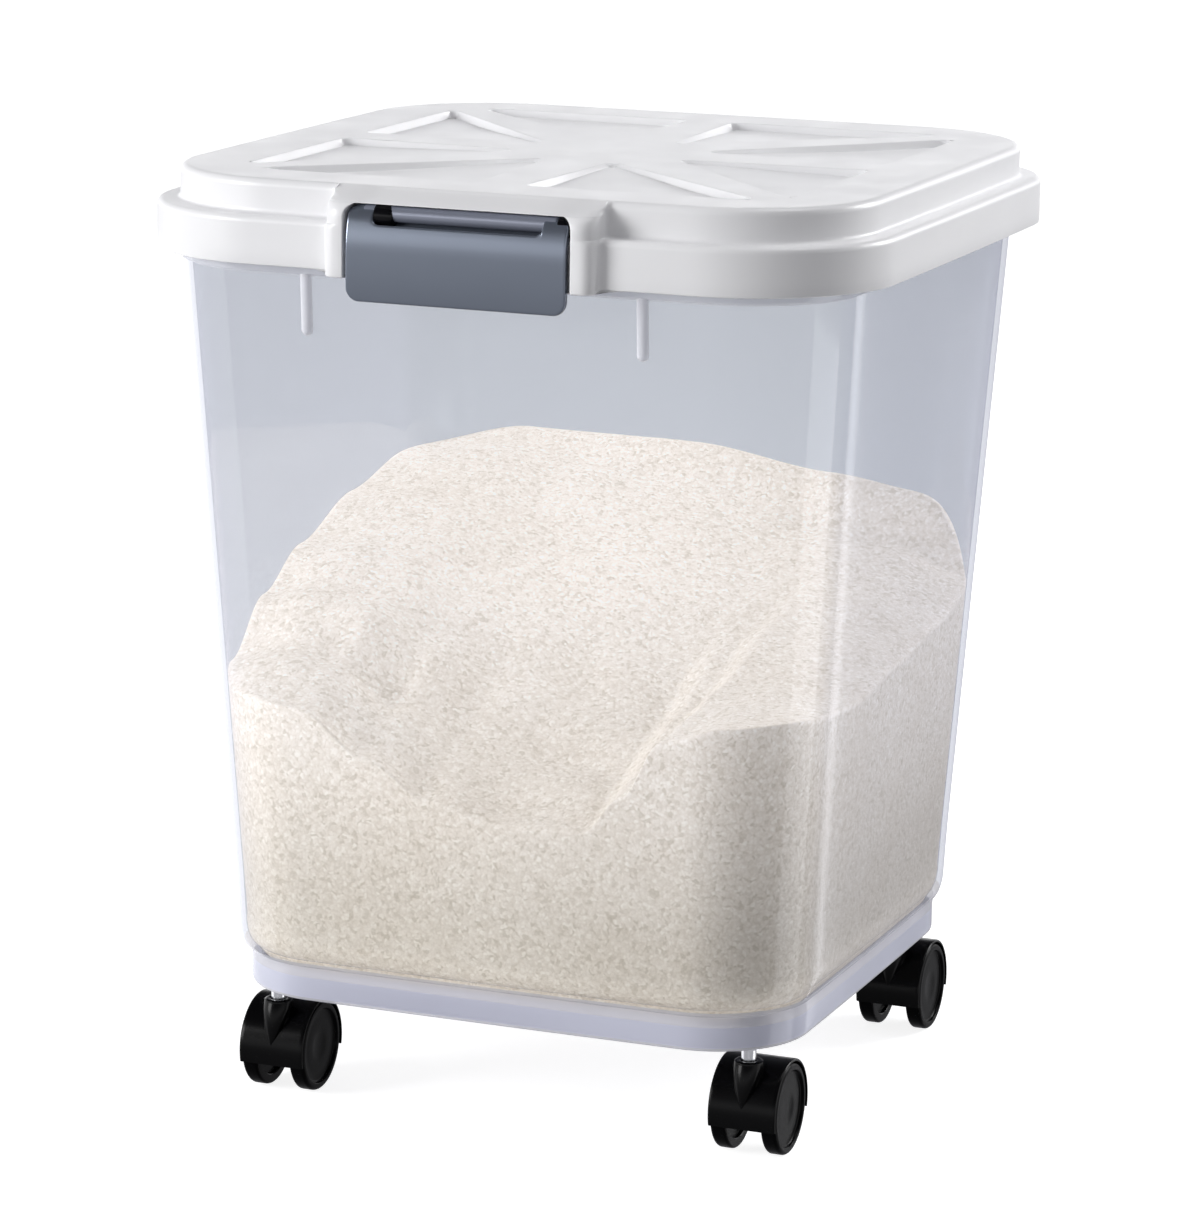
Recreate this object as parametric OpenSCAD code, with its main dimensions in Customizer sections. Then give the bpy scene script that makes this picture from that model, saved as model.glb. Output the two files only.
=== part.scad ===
// Rice bin with a flip lid on four twin-wheel casters.
// Units are millimetres. The origin is on the floor below the centre of the bin,
// the latch faces -Y, the hinge side is +Y and +Z is up.

/* [Lid] */
// Outside width and depth of the lid skirt
lid_w = 325; // [324:0.5:326]
// Wall of the lid
lid_t = 2.5; // [2.2:0.1:2.8]
// Step from the skirt in to the upper tier, on each side
tier_in = 8.4; // [8:0.1:8.8]
// Depth of the eight pockets in the top
pocket_h = 2.5; // [1.5:0.5:3]
// Half width of the straight strips at their outer ends
strip_hw = 10; // [8:0.5:12]
// Half width of the diagonal strips at their outer ends
diag_hw = 6.5; // [5:0.5:8]
// Distance of the pocket tips from the centre
tip_r = 37; // [34:1:44]

/* [Tub] */
// Wall of the tub
wall = 2.5; // [2.2:0.1:2.8]
// How far the rim band stands out from the wall
band_out = 2.75; // [2:0.25:3]
// Distance of the two front ribs from the middle
rib_x = 74; // [66:1:80]
// Height of the lower end of the front ribs
rib_z = 344.7; // [330:0.1:352]

/* [Latch] */
// Thickness of the latch plate
plate_t = 3; // [2.6:0.1:3.2]
// Width of each latch ear
ear_w = 11; // [9:0.5:12]

/* [Casters] */
// Distance of the caster stems from the middle plane
stem_x = 109; // [107:0.5:109]
// Stem position of the front pair
stem_yf = -104.5; // [-104.5:0.5:-100]
// Stem position of the rear pair
stem_yr = 91.5; // [88:0.5:98]
// Depth of the recess in the outer face of each wheel
dish = 1.5; // [0.5:0.25:2]

/* [Hidden] */
$fn = 64;

skirt_z = 374.35;
ledge_z = 394.5;
top_z = 408.8;
ledge_u = 392;
tier_w = lid_w - 2 * tier_in;
tier_r = 60;
skirt_r = 64;
lid_bow = 1.3;

rim_z = 387.5;
foot_z = 50.5;
floor_z = 62;

front_y = -170;
pin_y = -163.2;
pin_z = 398.4;
latch_w = 96;

hinge_x = 90;
hinge_y = 168;
hinge_z = 371;

wheel_r = 19.8;
axle_z = 19.8;
trail = 12.8;

// ---------- rounded squares with slightly bowed sides, and lofts through them ----------

// One ring of points: w and d are the full sizes, r the corner radius, b the bow of each side.
function bowed(x, y, w, d, b, z) = [x * (1 - (2 * b / w) * pow(2 * y / d, 2)),
                                    y * (1 - (2 * b / d) * pow(2 * x / w, 2)), z];
function corner(c, w, d, r) = [[1, 1], [-1, 1], [-1, -1], [1, -1]][c % 4][0] * (w / 2 - r) * [1, 0]
                            + [[1, 1], [-1, 1], [-1, -1], [1, -1]][c % 4][1] * (d / 2 - r) * [0, 1];
function arc_pt(c, a, w, d, r) = corner(c, w, d, r) + r * [cos(a), sin(a)];
function ring(w, d, r, b, z, m = 9, k = 3) = [for (c = [0:3]) each concat(
    [for (i = [0:m]) let (p = arc_pt(c, 90 * c + 90 * i / m, w, d, r)) bowed(p[0], p[1], w, d, b, z)],
    [for (j = [1:k]) let (p = arc_pt(c, 90 * c + 90, w, d, r), q = arc_pt(c + 1, 90 * c + 90, w, d, r),
                          s = p + (q - p) * j / (k + 1)) bowed(s[0], s[1], w, d, b, z)])];

// Solid through a list of rings. Capped at both ends, or closed into a loop.
module loft(rings, loop = false) {
    n = len(rings[0]);
    m = len(rings);
    polyhedron(
        points = [for (q = rings) each q],
        faces = concat(
            [for (i = [0:(loop ? m - 1 : m - 2)], j = [0:n - 1])
                let (u = (i + 1) % m, v = (j + 1) % n) each [[i * n + j, u * n + j, u * n + v], [i * n + j, u * n + v, i * n + v]]],
            loop ? [] : [[for (j = [0:n - 1]) j], [for (j = [n - 1:-1:0]) (m - 1) * n + j]]),
        convexity = 8);
}

// ---------- tub ----------

function bw(z) = 261.4 + 0.11954 * (z - 68.2);
function bd(z) = 265.7 + 0.13 * (z - 68.2);
function br(z) = 43.9 + 0.0147 * (z - 68.2);
function bring(z, o, b = 2) = ring(bw(z) + 2 * o, bd(z) + 2 * o, br(z) + o, b, z);
// bottom curl: f runs from 0 at the wall to 1 at the foot ring
function curl(z, f, o) = ring((bw(78) + 2 * o) * (1 - f) + (256 + 2 * o) * f, (bd(78) + 2 * o) * (1 - f) + (252.5 + 2 * o) * f,
                              (br(78) + o) * (1 - f) + (41.8 + o) * f, 1.5 - 0.5 * f, z);

function tub_rings() = concat(
    [ring(255 - 2 * wall, 251 - 2 * wall, 41.4 - wall, 1, floor_z - wall),
     ring(255 - 2 * wall, 251 - 2 * wall, 41.4 - wall, 1, foot_z),
     ring(255, 251, 41.4, 1, foot_z)],
    [for (t = [90:-18:0]) curl(78 - 12 * sin(t), 1 - cos(t), 0)],
    [for (z = [150, 225, 300]) bring(z, 0)],
    [bring(370.5, 0), bring(371.4, band_out), bring(rim_z - 0.8, band_out), bring(rim_z, band_out - 0.8), bring(rim_z, -wall)],
    [for (z = [300, 225, 150]) bring(z, -wall)],
    [for (t = [0:22.5:90]) curl(79 - 11 * sin(t), 1 - cos(t), -wall)],
    [for (t = [30:30:90]) ring(256 - 2 * wall - 12 * (1 - cos(t)), 252.5 - 2 * wall - 12 * (1 - cos(t)),
                               41.8 - wall - 4 * (1 - cos(t)), 1, 68 - 6 * sin(t))]);

// Bar or bore along X
module xcyl(r, x0, x1, y, z) {
    translate([x0, y, z]) rotate([0, 90, 0]) cylinder(r = r, h = x1 - x0);
}

module block(x0, x1, y0, y1, z0, z1) {
    translate([x0, y0, z0]) cube([x1 - x0, y1 - y0, z1 - z0]);
}

module at_stem(c) {
    translate([c[0] * stem_x, c[1] < 0 ? stem_yf : stem_yr, 0]) children();
}

CORNERS = [[-1, -1], [1, -1], [-1, 1], [1, 1]];

module bin_body() {
    color([0.72, 0.75, 0.84, 0.55])
    difference() {
        union() {
            loft(tub_rings());
            // caster sockets
            for (c = CORNERS) at_stem(c) translate([0, 0, foot_z]) cylinder(r = 7.5, h = 23.5);
            // half-round ribs under the rim band
            for (s = [-1, 1]) translate([s * rib_x, -(bd(rib_z) / 2 - 0.5), rib_z]) rotate([atan(0.065), 0, 0]) {
                cylinder(r1 = 1.2, r2 = 2.5, h = 1.8, $fn = 32);
                translate([0, 0, 1.8]) cylinder(r = 2.5, h = 371.5 - rib_z - 1.8, $fn = 32);
            }
            // catch bar for the latch
            block(-30, 30, -164.8, -151.6, 369.5, 372.5);
            // rear hinge lugs
            for (s = [-1, 1], k = [-1, 1]) {
                block(s * hinge_x + k * 9 - 2.5, s * hinge_x + k * 9 + 2.5, 150.8, hinge_y, hinge_z - 3, hinge_z + 3);
                xcyl(3, s * hinge_x + k * 9 - 2.5, s * hinge_x + k * 9 + 2.5, hinge_y, hinge_z);
            }
        }
        for (c = CORNERS) at_stem(c) translate([0, 0, foot_z - 1]) cylinder(r = 4.55, h = 21.5);
        for (s = [-1, 1]) xcyl(1.49, s * hinge_x - 13, s * hinge_x + 13, hinge_y, hinge_z);
    }
}

// ---------- lid ----------

function lring(w, r, z) = ring(w, w, r, lid_bow, z);
function lid_rings() = concat(
    [lring(tier_w - 2 * lid_t, tier_r - lid_t, top_z - 4.5),
     lring(tier_w - 2 * lid_t, tier_r - lid_t, ledge_z),
     ring(291, 299, 50, 2, ledge_z),
     ring(291, 299, 50, 2, ledge_u),
     lring(lid_w - 2 * lid_t, skirt_r - lid_t, ledge_u),
     lring(lid_w - 2 * lid_t, skirt_r - lid_t, skirt_z),
     lring(lid_w, skirt_r, skirt_z)],
    [for (t = [0:30:90]) lring(lid_w - 2 * 1.5 * (1 - cos(t)), skirt_r - 1.5 * (1 - cos(t)), ledge_z - 1.5 + 1.5 * sin(t))],
    [lring(tier_w + 1.2, tier_r + 0.6, ledge_z), lring(tier_w, tier_r, ledge_z + 0.8)],
    [for (t = [0:22.5:90]) lring(tier_w - 2 * 3 * (1 - cos(t)), tier_r - 3 * (1 - cos(t)), top_z - 3 + 3 * sin(t))]);

// One pocket of the top: between the strip along +X and the diagonal strip, out to a rounded-square border.
// px is the border on the strip's side, py the border across it, rc the border corner radius.
module pocket(px, py, rc) {
    off = diag_hw * sqrt(2);
    te = acos((off - (px - py)) / (rc * sqrt(2))) - 45;
    translate([0, 0, top_z - pocket_h]) linear_extrude(height = pocket_h + 1)
        offset(r = 3, $fn = 24) offset(delta = -3)
            polygon(concat([[tip_r * cos(22.5), tip_r * sin(22.5)], [px, strip_hw]],
                           [for (i = [0:5]) [px - rc + rc * cos(te * i / 5), py - rc + rc * sin(te * i / 5)]]));
}

module boss_outline(x, y0, y1, r) {
    // plan shape with rounded front corners and a square back
    intersection() {
        translate([-x, y0]) square([2 * x, y1 - y0]);
        union() {
            translate([-x, y0 + r]) square([2 * x, y1 - y0 - r]);
            translate([-x + r, y0]) square([2 * x - 2 * r, r + 1]);
            for (s = [-1, 1]) translate([s * (x - r), y0 + r]) circle(r = r);
        }
    }
}

// Side view of the latch boss: a rounded front that slopes back to the top as a brow over the latch
module boss_side() {
    rotate([90, 0, 90]) linear_extrude(height = 130, center = true)
        polygon([[-170, 372.7], [-170, 398.5], [-169.6, 400.3], [-168.6, 402], [-166.5, 403.7], [-164.5, 404.5],
                 [-150, 408.8], [-148, 408.8], [-148, 372.7]]);
}

module lid() {
    color([0.96, 0.96, 0.97])
    difference() {
        union() {
            loft(lid_rings());
            // latch boss: skirt part and upper part
            translate([0, 0, 372.7]) linear_extrude(height = 21) boss_outline(59, front_y, -161, 7);
            intersection() {
                translate([0, 0, 392.2]) linear_extrude(height = top_z - 392.2) boss_outline(59, front_y, -149, 7);
                boss_side();
            }
            // hinge knuckles on the skirt
            for (s = [-1, 1]) {
                block(s * hinge_x - 6, s * hinge_x + 6, 161, hinge_y + 3, 375.5, 380);
                block(s * hinge_x - 6, s * hinge_x + 6, hinge_y - 3, hinge_y + 3, hinge_z, 376);
                xcyl(3, s * hinge_x - 6, s * hinge_x + 6, hinge_y, hinge_z);
            }
        }
        // eight pockets
        for (a = [0, 180]) rotate([0, 0, a]) {
            pocket(122, 124, 26);
            mirror([0, 1, 0]) pocket(122, 124, 26);
            mirror([1, -1, 0]) pocket(124, 122, 26);
            mirror([1, 0, 0]) mirror([1, -1, 0]) pocket(124, 122, 26);
        }
        // recess of the latch and the clearance round its pin
        block(-latch_w / 2 - 1.5, latch_w / 2 + 1.5, -172, -165, 371, 403.5);
        xcyl(5.1, -latch_w / 2 - 1.5, latch_w / 2 + 1.5, pin_y, pin_z);
        xcyl(3.59, -54, 54, pin_y, pin_z);
        for (s = [-1, 1]) xcyl(1.55, s * hinge_x - 7, s * hinge_x + 7, hinge_y, hinge_z);
    }
}

module lid_seal() {
    color([0.85, 0.86, 0.88])
    loft([bring(387.9, 2), bring(ledge_u, 2), bring(ledge_u, -2), bring(387.9, -2)], loop = true);
}

// ---------- latch ----------

module plate_outline(x, z0, z1, r) {
    translate([-x, z0 + r]) square([2 * x, z1 - z0 - r]);
    translate([-x + r, z0]) square([2 * x - 2 * r, r + 1]);
    for (s = [-1, 1]) translate([s * (x - r), z0 + r]) circle(r = r);
}

latch_front = [[-171, 363.6], [-171, 386], [-170.85, 388.6], [-170.6, 391], [-170.15, 393.4]];

// Section turned to stand across X, from x0 to x1
module across(x0, x1, pts) {
    translate([x0, 0, 0]) rotate([90, 0, 90]) linear_extrude(height = x1 - x0) polygon(pts);
}

module front_latch() {
    yb = -171 + plate_t;
    color([0.20, 0.23, 0.30])
    difference() {
        intersection() {
            union() {
                // flap with a slightly bowed face
                across(-latch_w / 2, latch_w / 2, concat(latch_front, [[-169.55, 395.6], [-168.6, 395.8], [-167.6, 395.2], [yb, 391.5], [yb, 363.6]]));
                // ears that wrap over the bar
                for (s = [-1, 1]) {
                    x0 = s > 0 ? latch_w / 2 - ear_w : -latch_w / 2;
                    across(x0, x0 + ear_w, concat(latch_front, [[-169.4, 396]],
                        [for (t = [165:-15:-120]) [pin_y + 4.8 * cos(t), pin_z + 4.8 * sin(t)]], [[yb, 391.5], [yb, 363.6]]));
                }
                // snap lip
                block(-30, 30, -169, -165.2, 366, 368.9);
            }
            translate([0, -150, 0]) rotate([90, 0, 0]) linear_extrude(height = 25) plate_outline(latch_w / 2, 363.6, 405, 5.5);
        }
        xcyl(3.65, -60, 60, pin_y, pin_z);
    }
}

module latch_pin() {
    color([0.62, 0.62, 0.70]) xcyl(3.6, -53.8, 53.8, pin_y, pin_z);
}

module hinge_pin(s) {
    color([0.78, 0.79, 0.80]) xcyl(1.5, s * hinge_x - 11.4, s * hinge_x + 11.4, hinge_y, hinge_z);
}
module hinge_pin_left() { hinge_pin(-1); }
module hinge_pin_right() { hinge_pin(1); }

// ---------- casters, drawn with the stem on the Z axis and the axle behind it ----------

module caster_stem() {
    color([0.80, 0.81, 0.82])
    rotate_extrude() polygon([[0, 24.6], [2.2, 24.6], [3.2, 25.6], [3.2, 29], [2.8, 29], [2.8, 31], [3.2, 31], [3.2, 48.8], [5.2, 48.8],
                              [5.2, 50.5], [4, 50.5], [4, 57.4], [3.4, 57.4], [3.4, 68.1], [4, 68.1], [4, 69.6], [3, 70.6], [0, 70.6]]);
}

module grip_ring() {
    color([0.66, 0.66, 0.68])
    rotate_extrude() polygon([[3.38, 57.6], [4.3, 57.6], [4.6, 59], [4.6, 66.5], [4.3, 67.9], [3.38, 67.9]]);
}

// Stands a revolved shape up with its axis along X, at the axle
module on_axle() {
    translate([0, trail, axle_z]) rotate([90, 0, 90]) children();
}

module caster_hood() {
    color([0.05, 0.05, 0.06])
    difference() {
        union() {
            on_axle() rotate([0, 0, -13.5]) rotate_extrude(angle = 207)
                polygon([[0, -7.4], [20.3, -7.4], [20.3, -15.1], [20.9, -15.1], [21.5, -14.5], [21.5, 14.5], [20.9, 15.1],
                         [20.3, 15.1], [20.3, 7.4], [0, 7.4]]);
            on_axle() translate([0, 0, -7.4]) cylinder(r = 8.8, h = 14.8);
            translate([0, 0, 26]) cylinder(r = 6.3, h = 17.5);
        }
        // swivel bore with the ridge that keeps the stem in
        rotate_extrude() polygon([[0, 24.3], [3.25, 24.3], [3.25, 29.4], [2.9, 29.4], [2.9, 30.6], [3.25, 30.6], [3.25, 44], [0, 44]]);
        on_axle() translate([0, 0, -8]) cylinder(r = 1.99, h = 16);
    }
}

module caster_axle() {
    color([0.70, 0.71, 0.72])
    on_axle() rotate_extrude()
        polygon([[0, -14.2], [2.6, -14.2], [3.2, -13.6], [3.2, -13.5], [2, -13.5], [2, 13.5], [3.2, 13.5], [3.2, 13.6], [2.6, 14.2], [0, 14.2]]);
}

// Wheel on the +X side
module wheel() {
    on_axle() rotate_extrude($fn = 96)
        polygon([[2.05, 8], [6, 8], [6, 9.6], [15.4, 9.6], [15.4, 7.9], [18.8, 7.9], [19.5, 8.2], [wheel_r, 8.9], [wheel_r, 13.6],
                 [19.4, 14.5], [18.4, 14.9], [16.6, 14.9], [16, 14.6], [15.7, 14.9 - dish], [5, 14.9 - dish], [5, 13.4], [2.05, 13.4]]);
}

module wheel_right() { color([0.07, 0.07, 0.08]) wheel(); }
module wheel_left() { color([0.07, 0.07, 0.08]) mirror([1, 0, 0]) wheel(); }

module fl_caster_stem() { at_stem([-1, -1]) caster_stem(); }
module fl_grip_ring() { at_stem([-1, -1]) grip_ring(); }
module fl_caster_hood() { at_stem([-1, -1]) caster_hood(); }
module fl_axle() { at_stem([-1, -1]) caster_axle(); }
module fl_wheel_left() { at_stem([-1, -1]) wheel_left(); }
module fl_wheel_right() { at_stem([-1, -1]) wheel_right(); }

module fr_caster_stem() { at_stem([1, -1]) caster_stem(); }
module fr_grip_ring() { at_stem([1, -1]) grip_ring(); }
module fr_caster_hood() { at_stem([1, -1]) caster_hood(); }
module fr_axle() { at_stem([1, -1]) caster_axle(); }
module fr_wheel_left() { at_stem([1, -1]) wheel_left(); }
module fr_wheel_right() { at_stem([1, -1]) wheel_right(); }

module rl_caster_stem() { at_stem([-1, 1]) caster_stem(); }
module rl_grip_ring() { at_stem([-1, 1]) grip_ring(); }
module rl_caster_hood() { at_stem([-1, 1]) caster_hood(); }
module rl_axle() { at_stem([-1, 1]) caster_axle(); }
module rl_wheel_left() { at_stem([-1, 1]) wheel_left(); }
module rl_wheel_right() { at_stem([-1, 1]) wheel_right(); }

module rr_caster_stem() { at_stem([1, 1]) caster_stem(); }
module rr_grip_ring() { at_stem([1, 1]) grip_ring(); }
module rr_caster_hood() { at_stem([1, 1]) caster_hood(); }
module rr_axle() { at_stem([1, 1]) caster_axle(); }
module rr_wheel_left() { at_stem([1, 1]) wheel_left(); }
module rr_wheel_right() { at_stem([1, 1]) wheel_right(); }

bin_body();
lid();
lid_seal();
front_latch();
latch_pin();
hinge_pin_left();
hinge_pin_right();
fl_caster_stem();
fl_grip_ring();
fl_caster_hood();
fl_axle();
fl_wheel_left();
fl_wheel_right();
fr_caster_stem();
fr_grip_ring();
fr_caster_hood();
fr_axle();
fr_wheel_left();
fr_wheel_right();
rl_caster_stem();
rl_grip_ring();
rl_caster_hood();
rl_axle();
rl_wheel_left();
rl_wheel_right();
rr_caster_stem();
rr_grip_ring();
rr_caster_hood();
rr_axle();
rr_wheel_left();
rr_wheel_right();
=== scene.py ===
"""Rice bin with a flip lid: looks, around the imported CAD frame. Metres, row frame, front towards -Y."""
import bpy
import bmesh
import math
from mathutils import Vector, Matrix, noise
from mathutils.geometry import delaunay_2d_cdt


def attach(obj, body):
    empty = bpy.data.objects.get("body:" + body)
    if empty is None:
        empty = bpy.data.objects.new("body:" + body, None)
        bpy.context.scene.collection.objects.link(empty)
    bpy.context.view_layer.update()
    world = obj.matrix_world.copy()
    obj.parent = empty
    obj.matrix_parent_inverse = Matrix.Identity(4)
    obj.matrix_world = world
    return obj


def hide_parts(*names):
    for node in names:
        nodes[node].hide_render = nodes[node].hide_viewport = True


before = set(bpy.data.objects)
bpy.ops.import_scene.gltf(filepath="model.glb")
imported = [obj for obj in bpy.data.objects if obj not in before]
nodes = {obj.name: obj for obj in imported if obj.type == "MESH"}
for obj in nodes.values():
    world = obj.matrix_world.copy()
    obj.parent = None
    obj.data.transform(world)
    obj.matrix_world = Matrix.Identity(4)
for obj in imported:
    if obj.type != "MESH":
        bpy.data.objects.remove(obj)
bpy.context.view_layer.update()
MM = 0.001
D2R = math.radians


# ------------------------------------------------------------------ node helpers

def new_mat(name):
    m = bpy.data.materials.new(name)
    m.use_nodes = True
    nt = m.node_tree
    nt.nodes.clear()
    out = nt.nodes.new("ShaderNodeOutputMaterial")
    return m, nt, out


def principled(nt, **kw):
    p = nt.nodes.new("ShaderNodeBsdfPrincipled")
    for k, v in kw.items():
        p.inputs[k].default_value = v
    return p


def tex_noise(nt, scale, detail=3.0, rough=0.5, coord="Object", stretch=None, dist=0.0):
    tc = nt.nodes.new("ShaderNodeTexCoord")
    n = nt.nodes.new("ShaderNodeTexNoise")
    n.inputs["Scale"].default_value = scale
    n.inputs["Detail"].default_value = detail
    n.inputs["Roughness"].default_value = rough
    n.inputs["Distortion"].default_value = dist
    src = tc.outputs[coord]
    if stretch:
        mp = nt.nodes.new("ShaderNodeMapping")
        mp.inputs["Scale"].default_value = stretch
        nt.links.new(src, mp.inputs["Vector"])
        src = mp.outputs["Vector"]
    nt.links.new(src, n.inputs["Vector"])
    return n


def ramp(nt, src, stops):
    r = nt.nodes.new("ShaderNodeValToRGB")
    e = r.color_ramp.elements
    while len(e) < len(stops):
        e.new(0.5)
    for el, (pos, col) in zip(e, stops):
        el.position = pos
        el.color = (*col, 1.0) if len(col) == 3 else col
    nt.links.new(src, r.inputs["Fac"])
    return r


def bump(nt, src, strength, distance, normal=None):
    b = nt.nodes.new("ShaderNodeBump")
    b.inputs["Strength"].default_value = strength
    b.inputs["Distance"].default_value = distance
    nt.links.new(src, b.inputs["Height"])
    if normal is not None:
        nt.links.new(normal, b.inputs["Normal"])
    return b


def map_range(nt, src, a, b, c, d):
    m = nt.nodes.new("ShaderNodeMapRange")
    m.inputs["From Min"].default_value = a
    m.inputs["From Max"].default_value = b
    m.inputs["To Min"].default_value = c
    m.inputs["To Max"].default_value = d
    nt.links.new(src, m.inputs["Value"])
    return m


def math_node(nt, op, a, b=None):
    m = nt.nodes.new("ShaderNodeMath")
    m.operation = op
    for i, v in enumerate((a, b)):
        if v is None:
            continue
        if isinstance(v, (int, float)):
            m.inputs[i].default_value = v
        else:
            nt.links.new(v, m.inputs[i])
    return m


# ------------------------------------------------------------------ materials

def moulded(name, dark, light, rough, grain=0.06, grain_mm=0.35, wave=0.0, coat=0.0, spec=0.5, spread=9.0, metal=0.0, rvar=0.05, ior=1.5):
    """Moulded plastic: faint flow variation in the colour, fine spark-eroded grain, slight sink in big faces."""
    m, nt, out = new_mat(name)
    p = principled(nt)
    p.inputs["Metallic"].default_value = metal
    p.inputs["IOR"].default_value = ior
    p.inputs["Specular IOR Level"].default_value = spec
    p.inputs["Coat Weight"].default_value = coat
    p.inputs["Coat Roughness"].default_value = 0.12
    flow = tex_noise(nt, spread, 2.0)
    r = ramp(nt, flow.outputs["Fac"], [(0.3, dark), (0.7, light)])
    nt.links.new(r.outputs["Color"], p.inputs["Base Color"])
    blot = tex_noise(nt, 60.0, 3.0)
    rr = map_range(nt, blot.outputs["Fac"], 0.3, 0.7, rough - rvar, rough + rvar)
    nt.links.new(rr.outputs["Result"], p.inputs["Roughness"])
    fine = tex_noise(nt, 1.0 / (grain_mm * MM), 2.0, 0.6)
    b = bump(nt, fine.outputs["Fac"], grain, 0.00006)
    if wave:
        slow = tex_noise(nt, 14.0, 1.0)
        b0 = bump(nt, slow.outputs["Fac"], wave, 0.0008)
        nt.links.new(b0.outputs["Normal"], b.inputs["Normal"])
    nt.links.new(b.outputs["Normal"], p.inputs["Normal"])
    nt.links.new(p.outputs["BSDF"], out.inputs["Surface"])
    return m


def metal(name, col, rough, stretch):
    m, nt, out = new_mat(name)
    p = principled(nt, Metallic=1.0)
    n = tex_noise(nt, 900.0, 3.0, 0.6, stretch=stretch)
    r = ramp(nt, n.outputs["Fac"], [(0.3, tuple(c * 0.86 for c in col)), (0.7, col)])
    nt.links.new(r.outputs["Color"], p.inputs["Base Color"])
    rr = map_range(nt, n.outputs["Fac"], 0.3, 0.7, rough - 0.06, rough + 0.08)
    nt.links.new(rr.outputs["Result"], p.inputs["Roughness"])
    b = bump(nt, n.outputs["Fac"], 0.15, 0.00005)
    nt.links.new(b.outputs["Normal"], p.inputs["Normal"])
    nt.links.new(p.outputs["BSDF"], out.inputs["Surface"])
    return m


def clear_plastic(name, near, far, edge, milk, milk_col, rough=0.11, wave=0.12, passing=(0.97, 0.97, 0.975)):
    """Thin clear wall. near: what the side facing the eye lets through; far: the side seen through the bin; edge: both at a grazing angle."""
    m, nt, out = new_mat(name)
    geo = nt.nodes.new("ShaderNodeNewGeometry")
    lw = nt.nodes.new("ShaderNodeLayerWeight")
    lw.inputs["Blend"].default_value = 0.5
    facing = math_node(nt, "POWER", lw.outputs["Facing"], 3.0)
    side = nt.nodes.new("ShaderNodeMix")
    side.data_type = "RGBA"
    side.inputs[6].default_value = (*near, 1)
    side.inputs[7].default_value = (*far, 1)
    nt.links.new(geo.outputs["Backfacing"], side.inputs[0])
    tint = nt.nodes.new("ShaderNodeMix")
    tint.data_type = "RGBA"
    nt.links.new(facing.outputs[0], tint.inputs[0])
    nt.links.new(side.outputs[2], tint.inputs[6])
    tint.inputs[7].default_value = (*edge, 1)
    tr = nt.nodes.new("ShaderNodeBsdfTransparent")
    lp = nt.nodes.new("ShaderNodeLightPath")
    seen = nt.nodes.new("ShaderNodeMix")
    seen.data_type = "RGBA"
    nt.links.new(lp.outputs["Is Camera Ray"], seen.inputs[0])
    seen.inputs[6].default_value = (*passing, 1)
    nt.links.new(tint.outputs[2], seen.inputs[7])
    nt.links.new(seen.outputs[2], tr.inputs["Color"])
    df = nt.nodes.new("ShaderNodeBsdfDiffuse")
    df.inputs["Color"].default_value = (*milk_col, 1)
    body = nt.nodes.new("ShaderNodeMixShader")
    haze = tex_noise(nt, 7.0, 2.0)
    hz = map_range(nt, haze.outputs["Fac"], 0.3, 0.7, milk * 0.8, milk * 1.2)
    nt.links.new(hz.outputs["Result"], body.inputs[0])
    nt.links.new(tr.outputs[0], body.inputs[1])
    nt.links.new(df.outputs[0], body.inputs[2])
    gl = nt.nodes.new("ShaderNodeBsdfGlossy")
    gl.inputs["Roughness"].default_value = rough
    gl.inputs["Color"].default_value = (0.95, 0.96, 1.0, 1)
    slow = tex_noise(nt, 9.0, 1.0)
    b = bump(nt, slow.outputs["Fac"], wave, 0.0012)
    nt.links.new(b.outputs["Normal"], gl.inputs["Normal"])
    fr = nt.nodes.new("ShaderNodeFresnel")
    fr.inputs["IOR"].default_value = 1.49
    nt.links.new(b.outputs["Normal"], fr.inputs["Normal"])
    # an inner face reflects less than the outer one
    top = nt.nodes.new("ShaderNodeMixShader")
    back = math_node(nt, "SUBTRACT", 1.0, geo.outputs["Backfacing"])
    amount = math_node(nt, "MULTIPLY", fr.outputs[0], back.outputs[0])
    nt.links.new(amount.outputs[0], top.inputs[0])
    nt.links.new(body.outputs[0], top.inputs[1])
    nt.links.new(gl.outputs[0], top.inputs[2])
    nt.links.new(top.outputs[0], out.inputs["Surface"])
    return m


M_LID = moulded("white_satin", (0.80, 0.80, 0.815), (0.84, 0.84, 0.85), 0.34, grain=0.05, grain_mm=0.4, wave=0.05, spec=0.45)
M_LATCH = moulded("slate_satin", (0.180, 0.204, 0.252), (0.190, 0.215, 0.265), 0.23, grain=0.02, grain_mm=0.3, spec=0.5, metal=0.62, rvar=0.006)
M_PIN = moulded("lilac_bar", (0.245, 0.262, 0.325), (0.265, 0.285, 0.350), 0.25, grain=0.02, spec=0.5, metal=0.35, rvar=0.006)
# Painted shade: a near-black stand-in for the shade at the latch ears.
M_PAINTED_SHADE = moulded("painted_shade_black", (0.003, 0.003, 0.004), (0.005, 0.005, 0.006), 0.16, grain=0.02, spec=0.18, spread=60.0, rvar=0.02)
M_HOOD = moulded("black_nylon", (0.0018, 0.0018, 0.002), (0.0024, 0.0024, 0.0027), 0.22, grain=0.03, grain_mm=0.3, spec=0.5, spread=40.0, ior=1.19, rvar=0.015)
M_WHEEL = moulded("black_wheel", (0.0016, 0.0016, 0.0018), (0.0022, 0.0022, 0.0025), 0.22, grain=0.02, grain_mm=0.4, spec=0.5, spread=60.0, ior=1.11, rvar=0.01)
M_SEAL = moulded("soft_seal", (0.62, 0.63, 0.66), (0.68, 0.69, 0.71), 0.55, grain=0.08, spec=0.3)
M_ZINC = metal("zinc_plate", (0.80, 0.81, 0.84), 0.20, (1, 1, 0.15))
M_STEEL = metal("drawn_steel", (0.52, 0.53, 0.56), 0.34, (0.1, 1, 1))
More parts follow.
